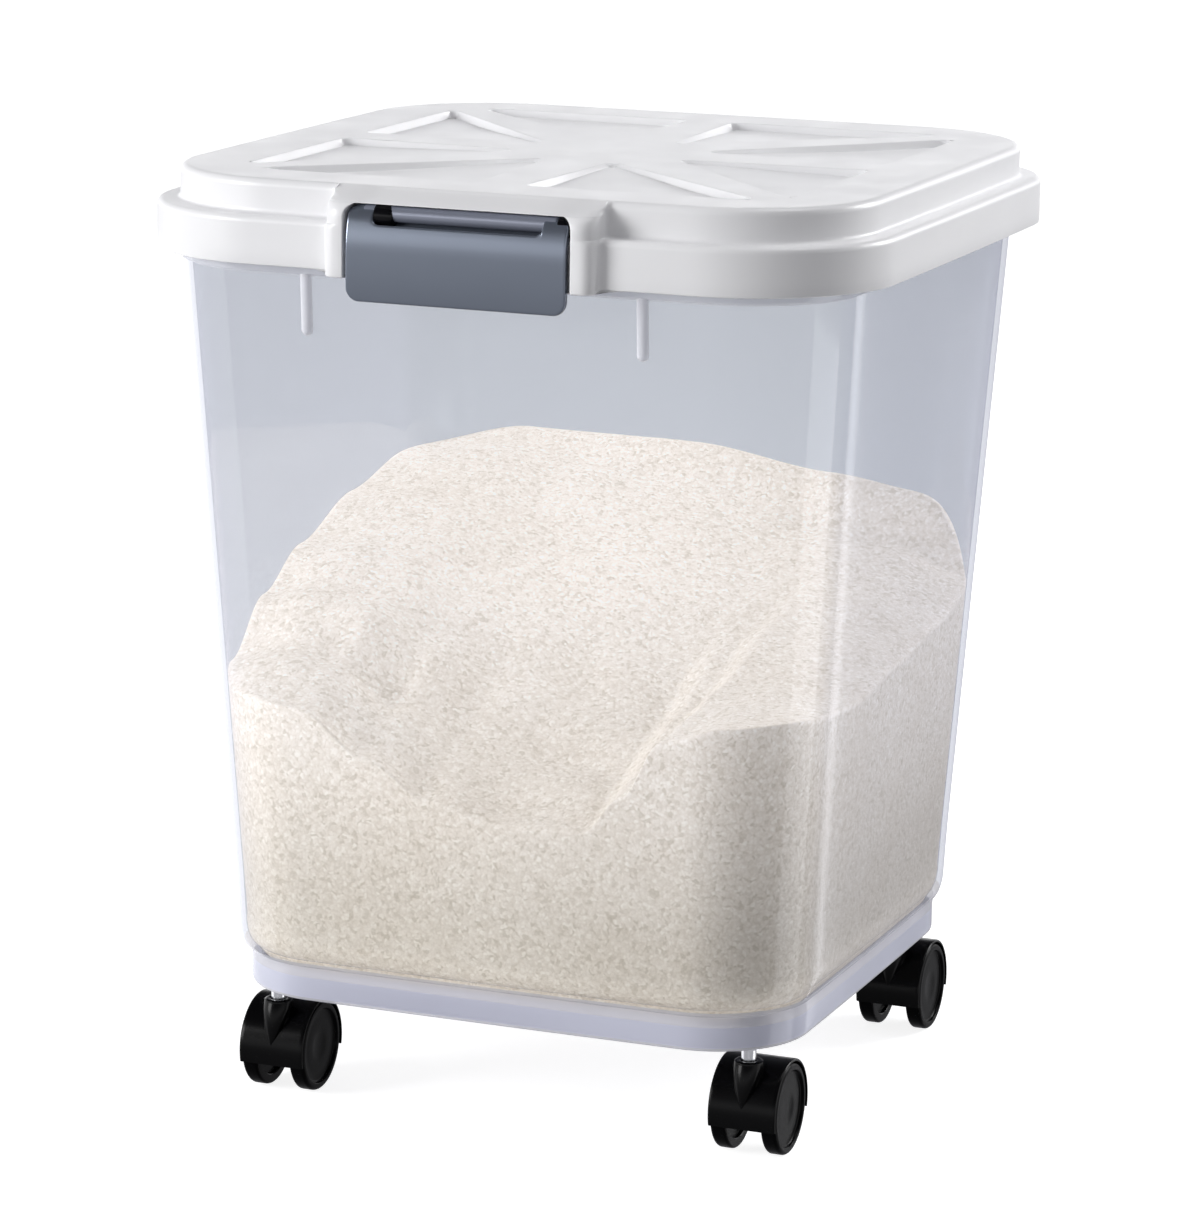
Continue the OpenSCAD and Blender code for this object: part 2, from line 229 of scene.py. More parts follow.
M_AXLE = metal("blackened_axle", (0.012, 0.012, 0.013), 0.45, (1, 1, 1))
NEAR, FAR = (0.968, 0.970, 0.975), (0.662, 0.678, 0.706)
M_WALL = clear_plastic("clear_tub_outer", NEAR, FAR, (0.74, 0.75, 0.81), 0.03, (0.80, 0.82, 0.88))
M_WALL_IN = clear_plastic("clear_tub_inner", FAR, NEAR, (0.80, 0.81, 0.86), 0.03, (0.80, 0.82, 0.88))
M_BAND = clear_plastic("clear_rim_band", (0.90, 0.905, 0.93), (0.86, 0.87, 0.90), (0.75, 0.76, 0.82), 0.42, (0.87, 0.88, 0.93))
M_RIB = clear_plastic("clear_rib", (0.90, 0.90, 0.93), (0.86, 0.87, 0.90), (0.75, 0.76, 0.82), 0.62, (0.88, 0.88, 0.93))
M_FOOT = clear_plastic("clear_foot_ring", (0.70, 0.71, 0.80), (0.70, 0.71, 0.80), (0.45, 0.47, 0.58), 0.90, (0.62, 0.635, 0.755), rough=0.14)
M_LIP = clear_plastic("clear_foot_lip", (0.92, 0.92, 0.95), (0.92, 0.92, 0.95), (0.85, 0.85, 0.89), 0.62, (0.80, 0.80, 0.86), rough=0.14)


def rice_material():
    m, nt, out = new_mat("rice_grains")
    p = principled(nt)
    p.inputs["Roughness"].default_value = 0.6
    p.inputs["Specular IOR Level"].default_value = 0.35
    tc = nt.nodes.new("ShaderNodeTexCoord")
    warp = nt.nodes.new("ShaderNodeTexNoise")
    warp.inputs["Scale"].default_value = 260.0
    nt.links.new(tc.outputs["Object"], warp.inputs["Vector"])
    mixv = nt.nodes.new("ShaderNodeMix")
    mixv.data_type = "VECTOR"
    mixv.inputs[0].default_value = 0.004
    nt.links.new(tc.outputs["Object"], mixv.inputs[4])
    nt.links.new(warp.outputs["Color"], mixv.inputs[5])
    vo = nt.nodes.new("ShaderNodeTexVoronoi")
    vo.inputs["Scale"].default_value = 640.0
    nt.links.new(mixv.outputs[1], vo.inputs["Vector"])
    sep = nt.nodes.new("ShaderNodeSeparateColor")
    nt.links.new(vo.outputs["Color"], sep.inputs["Color"])
    cell = ramp(nt, sep.outputs[0], [(0.0, (0.70, 0.665, 0.61)), (0.2, (0.83, 0.80, 0.76)), (0.75, (0.90, 0.875, 0.845)), (1.0, (0.96, 0.95, 0.93))])
    # Painted shade: the colour is darkened along the gaps between grains, where shade falls.
    gap = ramp(nt, vo.outputs["Distance"], [(0.3, (1, 1, 1)), (0.85, (0.82, 0.79, 0.75))])
    mul = nt.nodes.new("ShaderNodeMix")
    mul.data_type = "RGBA"
    mul.blend_type = "MULTIPLY"
    mul.inputs[0].default_value = 0.6
    nt.links.new(cell.outputs["Color"], mul.inputs[6])
    nt.links.new(gap.outputs["Color"], mul.inputs[7])
    patch = tex_noise(nt, 16.0, 3.0)
    pr = ramp(nt, patch.outputs["Fac"], [(0.35, (0.955, 0.94, 0.92)), (0.65, (1.0, 0.995, 0.99))])
    mul2 = nt.nodes.new("ShaderNodeMix")
    mul2.data_type = "RGBA"
    mul2.blend_type = "MULTIPLY"
    mul2.inputs[0].default_value = 1.0
    nt.links.new(mul.outputs[2], mul2.inputs[6])
    nt.links.new(pr.outputs["Color"], mul2.inputs[7])
    sx = nt.nodes.new("ShaderNodeSeparateXYZ")
    nt.links.new(tc.outputs["Object"], sx.inputs[0])
    # Painted shade: the rice colour is made darker and yellower towards the bottom and lighter towards the top,
    # following how the light falls in the bin.
    rice_height_shade = map_range(nt, sx.outputs[2], 0.09, 0.20, 0.0, 1.0)
    lr = ramp(nt, rice_height_shade.outputs["Result"], [(0.0, (0.90, 0.865, 0.785)), (0.5, (0.97, 0.94, 0.89)), (1.0, (1.0, 0.98, 0.96))])
    mul3 = nt.nodes.new("ShaderNodeMix")
    mul3.data_type = "RGBA"
    mul3.blend_type = "MULTIPLY"
    mul3.inputs[0].default_value = 1.0
    nt.links.new(mul2.outputs[2], mul3.inputs[6])
    nt.links.new(lr.outputs["Color"], mul3.inputs[7])
    nt.links.new(mul3.outputs[2], p.inputs["Base Color"])
    # Painted light: the rice glows in its own colour, more towards the top, towards the left and just above the floor.
    # This makes up for light the walls and lid hold back and fills the shade at its foot.
    up = map_range(nt, sx.outputs[2], 0.10, 0.215, 0.02, 0.32)
    side = map_range(nt, sx.outputs[0], 0.0, 0.13, 0.17, 0.04)
    low = map_range(nt, sx.outputs[2], 0.063, 0.080, 0.32, 0.0)
    glow0 = math_node(nt, "ADD", up.outputs["Result"], side.outputs["Result"])
    glow = math_node(nt, "ADD", glow0.outputs[0], low.outputs["Result"])
    nt.links.new(mul3.outputs[2], p.inputs["Emission Color"])
    nt.links.new(glow.outputs[0], p.inputs["Emission Strength"])
    b = bump(nt, vo.outputs["Distance"], 0.25, -0.0005)
    nt.links.new(b.outputs["Normal"], p.inputs["Normal"])
    nt.links.new(p.outputs["BSDF"], out.inputs["Surface"])
    return m


M_RICE = rice_material()


# ------------------------------------------------------------------ mesh helpers

def bowed(x, y, w, d, b):
    return (x * (1 - (2 * b / w) * (2 * y / d) ** 2), y * (1 - (2 * b / d) * (2 * x / w) ** 2))


def ring(w, d, r, b, z, m=20, k=12):
    """Rounded square with bowed sides, anticlockwise seen from above, from the middle of nothing: corner 0 is +X +Y. Millimetres."""
    sg = [(1, 1), (-1, 1), (-1, -1), (1, -1)]
    pts = []
    for c in range(4):
        cx, cy = sg[c][0] * (w / 2 - r), sg[c][1] * (d / 2 - r)
        nx, ny = sg[(c + 1) % 4][0] * (w / 2 - r), sg[(c + 1) % 4][1] * (d / 2 - r)
        for i in range(m + 1):
            a = D2R(90 * c + 90 * i / m)
            pts.append((cx + r * math.cos(a), cy + r * math.sin(a)))
        a = D2R(90 * c + 90)
        p = (cx + r * math.cos(a), cy + r * math.sin(a))
        q = (nx + r * math.cos(a), ny + r * math.sin(a))
        for j in range(1, k + 1):
            t = j / (k + 1)
            pts.append((p[0] + (q[0] - p[0]) * t, p[1] + (q[1] - p[1]) * t))
    return [(*bowed(x, y, w, d, b), z) for x, y in pts]


def build(name, verts, faces, mats, face_mat=None, smooth=True, sharp=None):
    me = bpy.data.meshes.new(name)
    me.from_pydata([Vector(v) * MM for v in verts], [], faces)
    me.validate()
    for m in mats:
        me.materials.append(m)
    if face_mat is not None and len(face_mat) == len(me.polygons):
        me.polygons.foreach_set("material_index", face_mat)
    if smooth:
        me.polygons.foreach_set("use_smooth", [True] * len(me.polygons))
        if sharp is not None:
            me.set_sharp_from_angle(angle=D2R(sharp))
    me.update()
    ob = bpy.data.objects.new(name, me)
    bpy.context.scene.collection.objects.link(ob)
    return ob


def loft(rings, cap_first=False, cap_last=False, loop=False, mats=None):
    """verts, faces, material indices through rings of equal length"""
    n = len(rings[0])
    verts = [v for r in rings for v in r]
    faces, fm = [], []
    m = len(rings)
    for i in range(m if loop else m - 1):
        u = (i + 1) % m
        for j in range(n):
            v = (j + 1) % n
            faces.append((i * n + j, i * n + v, u * n + v, u * n + j))
            fm.append(mats[i] if mats else 0)
    if cap_first:
        faces.append(tuple(reversed(range(n))))
        fm.append(mats[0] if mats else 0)
    if cap_last:
        faces.append(tuple(range((m - 1) * n, m * n)))
        fm.append(mats[-1] if mats else 0)
    return verts, faces, fm


def add(verts, faces, fm, more):
    v2, f2, m2 = more
    o = len(verts)
    verts += v2
    faces += [tuple(i + o for i in f) for f in f2]
    fm += m2


# ------------------------------------------------------------------ tub

WALL = 2.5


def bw(z): return 261.4 + 0.11954 * (z - 68.2)
def bd(z): return 265.7 + 0.13 * (z - 68.2)
def br(z): return 43.9 + 0.0147 * (z - 68.2)


def bring(z, o, b=2.0): return ring(bw(z) + 2 * o, bd(z) + 2 * o, br(z) + o, b, z)


def curl(z, f, o):
    return ring((bw(78) + 2 * o) * (1 - f) + (256 + 2 * o) * f, (bd(78) + 2 * o) * (1 - f) + (252.5 + 2 * o) * f,
                (br(78) + o) * (1 - f) + (41.8 + o) * f, 1.5 - 0.5 * f, z)


def make_tub():
    # materials: 0 outer wall, 1 inner wall, 2 band, 3 rib, 4 foot ring
    rings, mt = [], []

    def put(r, m):
        rings.append(r)
        mt.append(m)
    # floor underside, foot ring
    put(ring(255 - 2 * WALL - 4, 251 - 2 * WALL - 4, 39, 1, 59.5), 4)
    put(ring(255 - 2 * WALL, 251 - 2 * WALL, 38.9, 1, 58.0), 4)
    put(ring(255 - 2 * WALL, 251 - 2 * WALL, 38.9, 1, 51.1), 4)
    for t in range(0, 181, 30):
        q = math.cos(D2R(t))
        off = -WALL / 2 - q * (WALL / 2)
        put(ring(255 + 2 * off, 251 + 2 * off, 41.4 + off, 1, 51.2 - 0.7 * math.sin(D2R(t))), 5)
    put(ring(255.3, 251.5, 41.5, 1, 52.0), 4)
    put(ring(255.3, 251.5, 41.5, 1, 61.0), 5)
    for t in range(90, -1, -10):
        put(curl(78 - 12 * math.sin(D2R(t)), 1 - math.cos(D2R(t)), 0), 5 if t > 50 else 0)
    for z in (100, 150, 200, 250, 300, 340):
        put(bring(z, 0), 0)
    put(bring(369.6, 0), 2)
    for t in range(0, 91, 30):  # step out to the band, with a small fillet under it
        put(bring(370.2 + 1.0 * (1 - math.cos(D2R(t))), 2.75 * math.sin(D2R(t))), 2)
    put(bring(385.8, 2.75), 2)
    for t in range(0, 91, 30):
        put(bring(386.3 + 1.2 * math.sin(D2R(t)), 2.75 - 1.2 * (1 - math.cos(D2R(t)))), 2)
    for t in range(90, -1, -30):
        put(bring(386.7 + 0.8 * math.sin(D2R(t)), -WALL + 0.8 * (1 - math.cos(D2R(t)))), 2)
    for z in (370, 340, 300, 250, 200, 150, 100):
        put(bring(z, -WALL), 1)
    for t in range(0, 91, 15):
        put(curl(79 - 11 * math.sin(D2R(t)), 1 - math.cos(D2R(t)), -WALL), 1)
    for t in range(15, 91, 15):
        s = 1 - math.cos(D2R(t))
        put(ring(256 - 2 * WALL - 12 * s, 252.5 - 2 * WALL - 12 * s, 41.8 - WALL - 4 * s, 1, 68 - 6 * math.sin(D2R(t))), 1)
    verts, faces, fm = loft(rings, cap_first=True, cap_last=True, mats=mt)

    # half-round ribs under the band, open towards the wall they stand on
    for s in (-1, 1):
        cols = 14
        prof = []
        zb = 344.7
        lev = [(zb, 0.0)] + [(zb + 2.5 * (1 - math.cos(D2R(t))), 2.5 * math.sin(D2R(t))) for t in range(15, 91, 15)]
        lev += [(355, 2.5), (363, 2.5), (370.9, 2.5)]
        for z, r in lev:
            row = []
            for i in range(cols + 1):
                a = D2R(180 + 180 * i / cols)
                x = s * 74 + max(r, 0.02) * math.cos(a)
                yw = -(bd(z) / 2) * (1 - (2 * 2 / bd(z)) * (2 * x / bw(z)) ** 2)
                row.append((x, yw + 0.03 + max(r, 0.02) * math.sin(a) * 1.05, z))
            prof.append(row)
        o = len(verts)
        for row in prof:
            verts.extend(row)
        c = cols + 1
        for i in range(len(prof) - 1):
            for j in range(cols):
                faces.append((o + i * c + j, o + i * c + j + 1, o + (i + 1) * c + j + 1, o + (i + 1) * c + j))
                fm.append(3)
    # catch bar: a bevelled bar on the wall
    add(verts, faces, fm, slab(-30, 30, -164.8, -154.6, 369.5, 372.5, 0.6, 2))
    # rear hinge lugs
    for s in (-1, 1):
        for k in (-1, 1):
            add(verts, faces, fm, lug(s * 90 + k * 9 - 2.5, s * 90 + k * 9 + 2.5, 152.9, 168, 371, 3.0, 2))
    # caster sockets below and inside the floor
    for cx in (-109, 109):
        for cy in (-104.5, 91.5):
            prof = [(4.56, 58.0), (4.56, 51.0), (5.0, 50.5), (7.0, 50.5), (7.5, 51.0), (7.5, 59.4)]
            add(verts, faces, fm, revolve_z(prof, cx, cy, 4))
            prof = [(7.5, 62.1), (7.5, 73.2), (6.7, 74.0), (0.01, 74.0)]
            add(verts, faces, fm, revolve_z(prof, cx, cy, 1))
    ob = build("tub", verts, faces, [M_WALL, M_WALL_IN, M_BAND, M_RIB, M_FOOT, M_LIP], fm, sharp=40)
    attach(ob, "bin")
    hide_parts("bin_body")
    return ob


def slab(x0, x1, y0, y1, z0, z1, r, mi):
    """Block with its long edges rounded, along X"""
    sec = []
    for cy, cz, a0 in ((y1 - r, z1 - r, 0), (y0 + r, z1 - r, 90), (y0 + r, z0 + r, 180), (y1 - r, z0 + r, 270)):
        for i in range(4):
            a = D2R(a0 + 30 * i)
            sec.append((cy + r * math.cos(a), cz + r * math.sin(a)))
    rings = [[(x, y, z) for y, z in sec] for x in (x0, x1)]
    return loft(rings, cap_first=True, cap_last=True, mats=[mi, mi])


def lug(x0, x1, y0, y1, z, r, mi):
    sec = [(y0, z + r)]
    sec += [(y1 + r * math.cos(D2R(90 - 15 * i)), z + r * math.sin(D2R(90 - 15 * i))) for i in range(13)]
    sec += [(y0, z - r)]
    sec.reverse()
    rings = []
    for x, e in ((x0, 0.5), (x0 + 0.5, 0), (x1 - 0.5, 0), (x1, 0.5)):
        cy, cz = (y0 + y1) / 2, z
        rings.append([(x, y - (e if y > cy else 0), cz + (zz - cz) * (1 - e / r)) for y, zz in sec])
    return loft(rings, cap_first=True, cap_last=True, mats=[mi] * 4)


def revolve_z(prof, cx, cy, mi, n=40, closed=False):
    rings = [[(cx + r * math.cos(2 * math.pi * i / n), cy + r * math.sin(2 * math.pi * i / n), z) for i in range(n)] for r, z in prof]
    return loft(rings, mats=[mi] * len(rings), loop=closed)


# ------------------------------------------------------------------ lid

LW, TIER, BOW = 325.0, 308.2, 1.3
SK_R, TR = 64.0, 60.0


BOSS = [(372.0, -170.0), (397.6, -170.0), (398.8, -169.93), (400.0, -169.65), (401.1, -169.15), (402.1, -168.45), (402.9, -167.6),
        (403.6, -166.6), (404.15, -165.5), (404.6, -164.2), (405.1, -162.5), (405.7, -160.5), (406.3, -158.4), (406.9, -156.4), (408.8, -150.0)]


def boss_front(z):
    """How far forward the latch boss comes at one level: upright, then rolled back into a brow that runs up to the top"""
    for (za, ya), (zb, yb) in zip(BOSS, BOSS[1:]):
        if z <= zb:
            return ya + (yb - ya) * max(0.0, (z - za) / (zb - za))
    return BOSS[-1][1]


def lid_ring(w, r, z, bump_i=0.0, zb=None, notch=True, flat=False, lip=0.0):
    """Outline of the lid at one level, with the latch boss and its recess in the front side. bump_i shrinks the boss. flat maps the boss onto the plain side."""
    m, k = 22, 10
    h = w / 2
    zb = z if zb is None else zb

    def side_y(x):
        return -h * (1 - (2 * BOW / w) * (2 * x / w) ** 2)
    sg = [(1, 1), (-1, 1), (-1, -1), (1, -1)]
    pts = []
    for c in range(4):
        cx, cy = sg[c][0] * (h - r), sg[c][1] * (h - r)
        for i in range(m + 1):
            a = D2R(90 * c + 90 * i / m)
            pts.append((*bowed(cx + r * math.cos(a), cy + r * math.sin(a), w, w, BOW), z))
        if c != 2:
            nx, ny = sg[(c + 1) % 4][0] * (h - r), sg[(c + 1) % 4][1] * (h - r)
            a = D2R(90 * c + 90)
            p = (cx + r * math.cos(a), cy + r * math.sin(a))
            q = (nx + r * math.cos(a), ny + r * math.sin(a))
            for j in range(1, 2 * k + 6):
                t = j / (2 * k + 6)
                pts.append((*bowed(p[0] + (q[0] - p[0]) * t, p[1] + (q[1] - p[1]) * t, w, w, BOW), z))
        else:
            bx, by, rc = 59 - bump_i, boss_front(zb) + bump_i + lip, 2.2
            x0 = -(h - r)
            half = []
            for j in range(1, k + 1):
                x = x0 + (-bx - rc - x0) * j / k
                half.append((x, side_y(x), z))
            yb = side_y(bx)
            for i in range(1, 6):       # hollow fillet where the boss leaves the side
                a = D2R(90 - 90 * i / 5)
                half.append((-bx - rc + rc * math.cos(a), yb - rc + rc * math.sin(a), z + (zb - z) * i / 5))
            depth = (yb - rc) - by
            e = min(7.2, max(0.4, depth - 0.3))
            for i in range(0, 11):      # rounded front edge of the boss
                a = D2R(180 + 9 * i)
                half.append((-bx + e + e * math.cos(a), by + e + e * math.sin(a), zb))
            # recess, its upper corners rounded
            nx = 49.5 + min(bump_i, 0.8)
            up = zb - 397.9
            if up > 0:
                nx -= 5.6 - math.sqrt(max(0.0, 5.6 ** 2 - up ** 2))
            u = zb - 398.4
            nby = -165.0
            if 26.01 - u * u > 0 and zb > 393.3:
                nby = max(-165.0, -163.2 + math.sqrt(26.01 - u * u))
            if not notch:
                nby = by
            e = 0.7 if notch else 0.0
            for i in range(0, 4):       # edge of the recess
                a = D2R(270 + 30 * i)
                half.append((-nx - e + e * math.cos(a), by + e + e * math.sin(a), zb))
            e2 = 0.5 if notch else 0.0
            for i in range(1, 5):
                half.append((-nx, by + e + (nby - e2 - by - e) * i / 4, zb))
            for i in range(1, 4):
                a = D2R(180 - 90 * i / 3)
                half.append((-nx + e2 + e2 * math.cos(a), nby - e2 + e2 * math.sin(a), zb))
            mid = [(-nx + 0.5 + (2 * nx - 1) * i / 12, nby, zb) for i in range(1, 12)]
            path = half + mid + [(-x, y, zz) for x, y, zz in reversed(half)]
            path = path[:-1]
            path = [(x, min(y, side_y(x)), zz) for x, y, zz in path]
            if flat:
                n = len(path)
                uni = [x0 + (-2 * x0) * (i + 1) / (n + 1) for i in range(n)]
                path = [(x, side_y(x), z) for x in uni]
            pts += path
    return pts


PX, PY, PRC = 122.0, 124.0, 26.0
TIP, SHW, DHW = 37.0, 10.0, 6.5


def pocket_outline(px, py):
    """Rounded wedge between a straight strip and a diagonal strip, anticlockwise. Millimetres."""
    off = DHW * math.sqrt(2)
    te = math.degrees(math.acos((off - (px - py)) / (PRC * math.sqrt(2)))) - 45
    raw = [(TIP * math.cos(D2R(22.5)), TIP * math.sin(D2R(22.5)), 4.5), (px, SHW, 5.0)]
    arc = [(px - PRC + PRC * math.cos(D2R(te * i / 10)), py - PRC + PRC * math.sin(D2R(te * i / 10))) for i in range(0, 10)]
    end = (px - PRC + PRC * math.cos(D2R(te)), py - PRC + PRC * math.sin(D2R(te)))
    poly = raw + [(x, y, 0.0) for x, y in arc] + [(*end, 4.5)]
    out = []
    n = len(poly)
    for i, (x, y, r) in enumerate(poly):
        if r <= 0:
            out.append((x, y))
            continue
        p, q = Vector(poly[i - 1][:2]), Vector(poly[(i + 1) % n][:2])
        v = Vector((x, y))
        a, b = (p - v).normalized(), (q - v).normalized()
        half = math.acos(max(-1, min(1, a.dot(b)))) / 2
        t = r / math.tan(half)
        c = v + (a + b).normalized() * (r / math.sin(half))
        s0, s1 = v + a * t, v + b * t
        a0 = math.atan2(s0.y - c.y, s0.x - c.x)
        a1 = math.atan2(s1.y - c.y, s1.x - c.x)
        d = (a1 - a0 + math.pi) % (2 * math.pi) - math.pi
        for j in range(9):
            an = a0 + d * j / 8
            out.append((c.x + r * math.cos(an), c.y + r * math.sin(an)))
    # even spacing along the long straight sides
    res = []
    for i, p in enumerate(out):
        q = out[(i + 1) % len(out)]
        res.append(p)
        L = math.hypot(q[0] - p[0], q[1] - p[1])
        m = int(L // 8)
        for j in range(1, m + 1):
            res.append((p[0] + (q[0] - p[0]) * j / (m + 1), p[1] + (q[1] - p[1]) * j / (m + 1)))
    return res


def inset(poly, s):
    n = len(poly)
    out = []
    for i in range(n):
        p, v, q = Vector(poly[i - 1]), Vector(poly[i]), Vector(poly[(i + 1) % n])
        e0, e1 = (v - p).normalized(), (q - v).normalized()
        n0, n1 = Vector((-e0.y, e0.x)), Vector((-e1.y, e1.x))
        b = (n0 + n1).normalized()
        k = s / max(0.5, b.dot(n0))
        out.append((v.x + b.x * k, v.y + b.y * k))
    return out


def smooth01(t):
    t = max(0.0, min(1.0, t))
    return t * t * (3 - 2 * t)


def inside(poly, x, y):
    hit = False
    for (xa, ya), (xb, yb) in zip(poly, poly[1:] + poly[:1]):
        if (ya > y) != (yb > y) and x < xa + (y - ya) * (xb - xa) / (yb - ya):
            hit = not hit
    return hit


def grid_inside(poly, step):
    """Points of a plain grid that lie well inside an outline"""
    xs, ys = [p[0] for p in poly], [p[1] for p in poly]
    out = []
    nx, ny = int((max(xs) - min(xs)) / step), int((max(ys) - min(ys)) / step)
    for i in range(nx + 1):
        for j in range(ny + 1):
            x, y = min(xs) + step * (i + 0.5), min(ys) + step * (j + 0.5)
            gap = step
            for (xa, ya), (xb, yb) in zip(poly, poly[1:] + poly[:1]):
                t = ((x - xa) * (xb - xa) + (y - ya) * (yb - ya)) / max(1e-9, (xb - xa) ** 2 + (yb - ya) ** 2)
                t = max(0.0, min(1.0, t))
                gap = min(gap, math.hypot(x - xa - t * (xb - xa), y - ya - t * (yb - ya)))
            if inside(poly, x, y) and gap > step * 0.42:
                out.append((x, y))
    return out


def fill(verts, faces, fm, loops, extra, height):
    """Level face inside the first loop and outside the others, in even triangles that look upwards"""
    ids = [i for lp in loops for i in lp]
    pts = [Vector((verts[i][0], verts[i][1])) for i in ids] + [Vector(p) for p in extra]
    edges, o = [], 0
    for lp in loops:
        n = len(lp)
        edges += [(o + j, o + (j + 1) % n) for j in range(n)]
        o += n
    polys = [[(verts[i][0], verts[i][1]) for i in lp] for lp in loops]
    cv, _, cf, orig, _, _ = delaunay_2d_cdt(pts, edges, [], 0, 1e-5, True)
    real = []
    for i, v in enumerate(cv):
        src_ids = [s for s in orig[i] if s < len(ids)]
        if src_ids:
            real.append(ids[src_ids[0]])
        else:
            real.append(len(verts))
            verts.append((v.x, v.y, height(v.x, v.y)))
    for f in cf:
        cx, cy = sum(cv[i].x for i in f) / len(f), sum(cv[i].y for i in f) / len(f)
        if not inside(polys[0], cx, cy) or any(inside(p, cx, cy) for p in polys[1:]):
            continue
        t = [real[i] for i in f]
        if len(set(t)) < 3:
            continue
        area2 = sum(cv[f[i]].x * cv[f[(i + 1) % len(f)]].y - cv[f[(i + 1) % len(f)]].x * cv[f[i]].y for i in range(len(f)))
        if abs(area2) < 1e-7:
            continue
        if area2 < 0:
            t.reverse()
        faces.append(tuple(t))
        fm.append(0)


def make_lid():
    TOP = 408.8
    verts, faces, fm = [], [], []
    rings = []
    it = 2.5
    # inside, from the underside of the top down to the skirt
    rings.append(lid_ring(TIER - 2 * it - 6, TR - it - 3, 404.3, flat=True))
    for t in (0, 30, 60, 90):
        s = 3 * (1 - math.sin(D2R(t)))
        rings.append(lid_ring(TIER - 2 * it - 2 * s, TR - it - s, 404.3 - 3 * (1 - math.cos(D2R(t))), flat=True))
    rings.append(lid_ring(TIER - 2 * it, TR - it, 395.0, flat=True))
    rings.append(lid_ring(TIER - 2 * it - 0.6, TR - it - 0.3, 394.5, flat=True))
    rings.append(lid_ring(294, 50, 394.5, flat=True))
    rings.append(lid_ring(293, 49.5, 393.9, flat=True))
    rings.append(lid_ring(293, 49.5, 392.5, flat=True))
    rings.append(lid_ring(294, 50, 392.0, flat=True))
    rings.append(lid_ring(LW - 2 * it - 2, SK_R - it - 1, 392.0, flat=True))
    rings.append(lid_ring(LW - 2 * it, SK_R - it, 391.0, flat=True))
    rings.append(lid_ring(LW - 2 * it, SK_R - it, 376.0, flat=True))
    rings.append(lid_ring(LW - 2 * it, SK_R - it, 374.8, flat=True))
    rings.append(lid_ring(LW - 2 * it + 0.9, SK_R - it + 0.45, 374.35, flat=True))
    # outside, from the skirt's lower edge up
    rings.append(lid_ring(LW - 1.2, SK_R - 0.6, 374.35, bump_i=0.6, zb=372.7))
    rings.append(lid_ring(LW - 0.3, SK_R - 0.15, 374.55, bump_i=0.15, zb=372.9))
    rings.append(lid_ring(LW, SK_R, 375.1, zb=373.4))
    rings.append(lid_ring(LW, SK_R, 380, zb=379))
    rings.append(lid_ring(LW, SK_R, 386, zb=386))
    rings.append(lid_ring(LW, SK_R, 391.6, zb=391.6))
    for t in range(0, 91, 15):
        s = 2.6 * (1 - math.cos(D2R(t)))
        z = 391.9 + 2.6 * math.sin(D2R(t))
        rings.append(lid_ring(LW - 2 * s, SK_R - s, z))
    rings.append(lid_ring(TIER + 4.2, TR + 2.1, 394.5))
    for t in range(0, 91, 30):   # hollow fillet at the foot of the upper tier
        s = 1.4 * (1 - math.sin(D2R(t)))
        z = 394.5 + 1.4 * (1 - math.cos(D2R(t)))
        rings.append(lid_ring(TIER + 2 * s, TR + s, z + 0.01))
    for z in (396.8, 397.7, 398.6, 399.5, 400.3, 401.0, 401.6, 402.1, 402.5, 402.85, 403.15, 403.3):
        rings.append(lid_ring(TIER, TR, z))
    # underside of the brow, its lip rounded
    rings.append(lid_ring(TIER, TR, 403.3, notch=False, lip=0.45))
    rings.append(lid_ring(TIER, TR, 403.38, notch=False, lip=0.16))
    rings.append(lid_ring(TIER, TR, 403.55, notch=False, lip=0.03))
    for z in (403.8, 404.1, 404.4, 404.7, 405.0, 405.3):
        rings.append(lid_ring(TIER, TR, z, notch=False))
    for t in range(0, 91, 10):
        s = 3.2 * (1 - math.cos(D2R(t)))
        z = TOP - 3.2 + 3.2 * math.sin(D2R(t))
        rings.append(lid_ring(TIER - 2 * s, TR - s, z, notch=False))
    # a flat margin, so that the level top keeps its own shading
    rings.append(lid_ring(TIER - 6.4 - 1.6, TR - 4.0, TOP, notch=False))
    verts, faces, fm = loft(rings)
    n = len(rings[0])
    faces.append(tuple(reversed(range(n))))
    fm.append(0)
    top_idx = list(range((len(rings) - 1) * n, len(rings) * n))
    # pockets
    loops = []
    base = [(pocket_outline(PX, PY), lambda x, y: (x, y), False), (pocket_outline(PY, PX), lambda x, y: (y, x), True)]
    outs = []
    for poly, f, flip in base:
        q = [f(x, y) for x, y in poly]
        if flip:
            q.reverse()
        for sx in (1, -1):
            for sy in (1, -1):
                r = [(x * sx, y * sy) for x, y in q]
                if sx * sy < 0:
                    r.reverse()
                outs.append(r)
    H = 3.0

    def floor_z(x, y):
        return TOP - H * (0.34 + 0.66 * smooth01((math.hypot(x, y) - 36) / 90.0))
    for poly in outs:
        # rounded rim, steep wall, a fine crease along its foot. (inset, share of the full depth, extra depth)
        steps = [(-0.8, 0, 0), (0, 0, 0), (0.24, 0, 0.04), (0.45, 0, 0.16), (0.60, 0.05, 0.30), (1.15, 0.60, 0.04), (1.65, 0.94, 0), (1.85, 1, 0.22),
                 (2.1, 1, 0.55), (2.45, 1, 0.62), (2.8, 1, 0.42), (3.1, 1, 0.10), (3.4, 1, 0), (4.0, 1, 0)]
        idx_rings = []
        for s, share, deep in steps:
            pr = inset(poly, s) if s else poly
            row = []
            for x, y in pr:
                row.append(len(verts))
                verts.append((x, y, TOP - share * (TOP - floor_z(x, y)) - deep))
            idx_rings.append(row)
        L = len(poly)
        for a, b in zip(idx_rings, idx_rings[1:]):
            for j in range(L):
                v = (j + 1) % L
                faces.append((a[j], a[v], b[v], b[j]))
                fm.append(0)
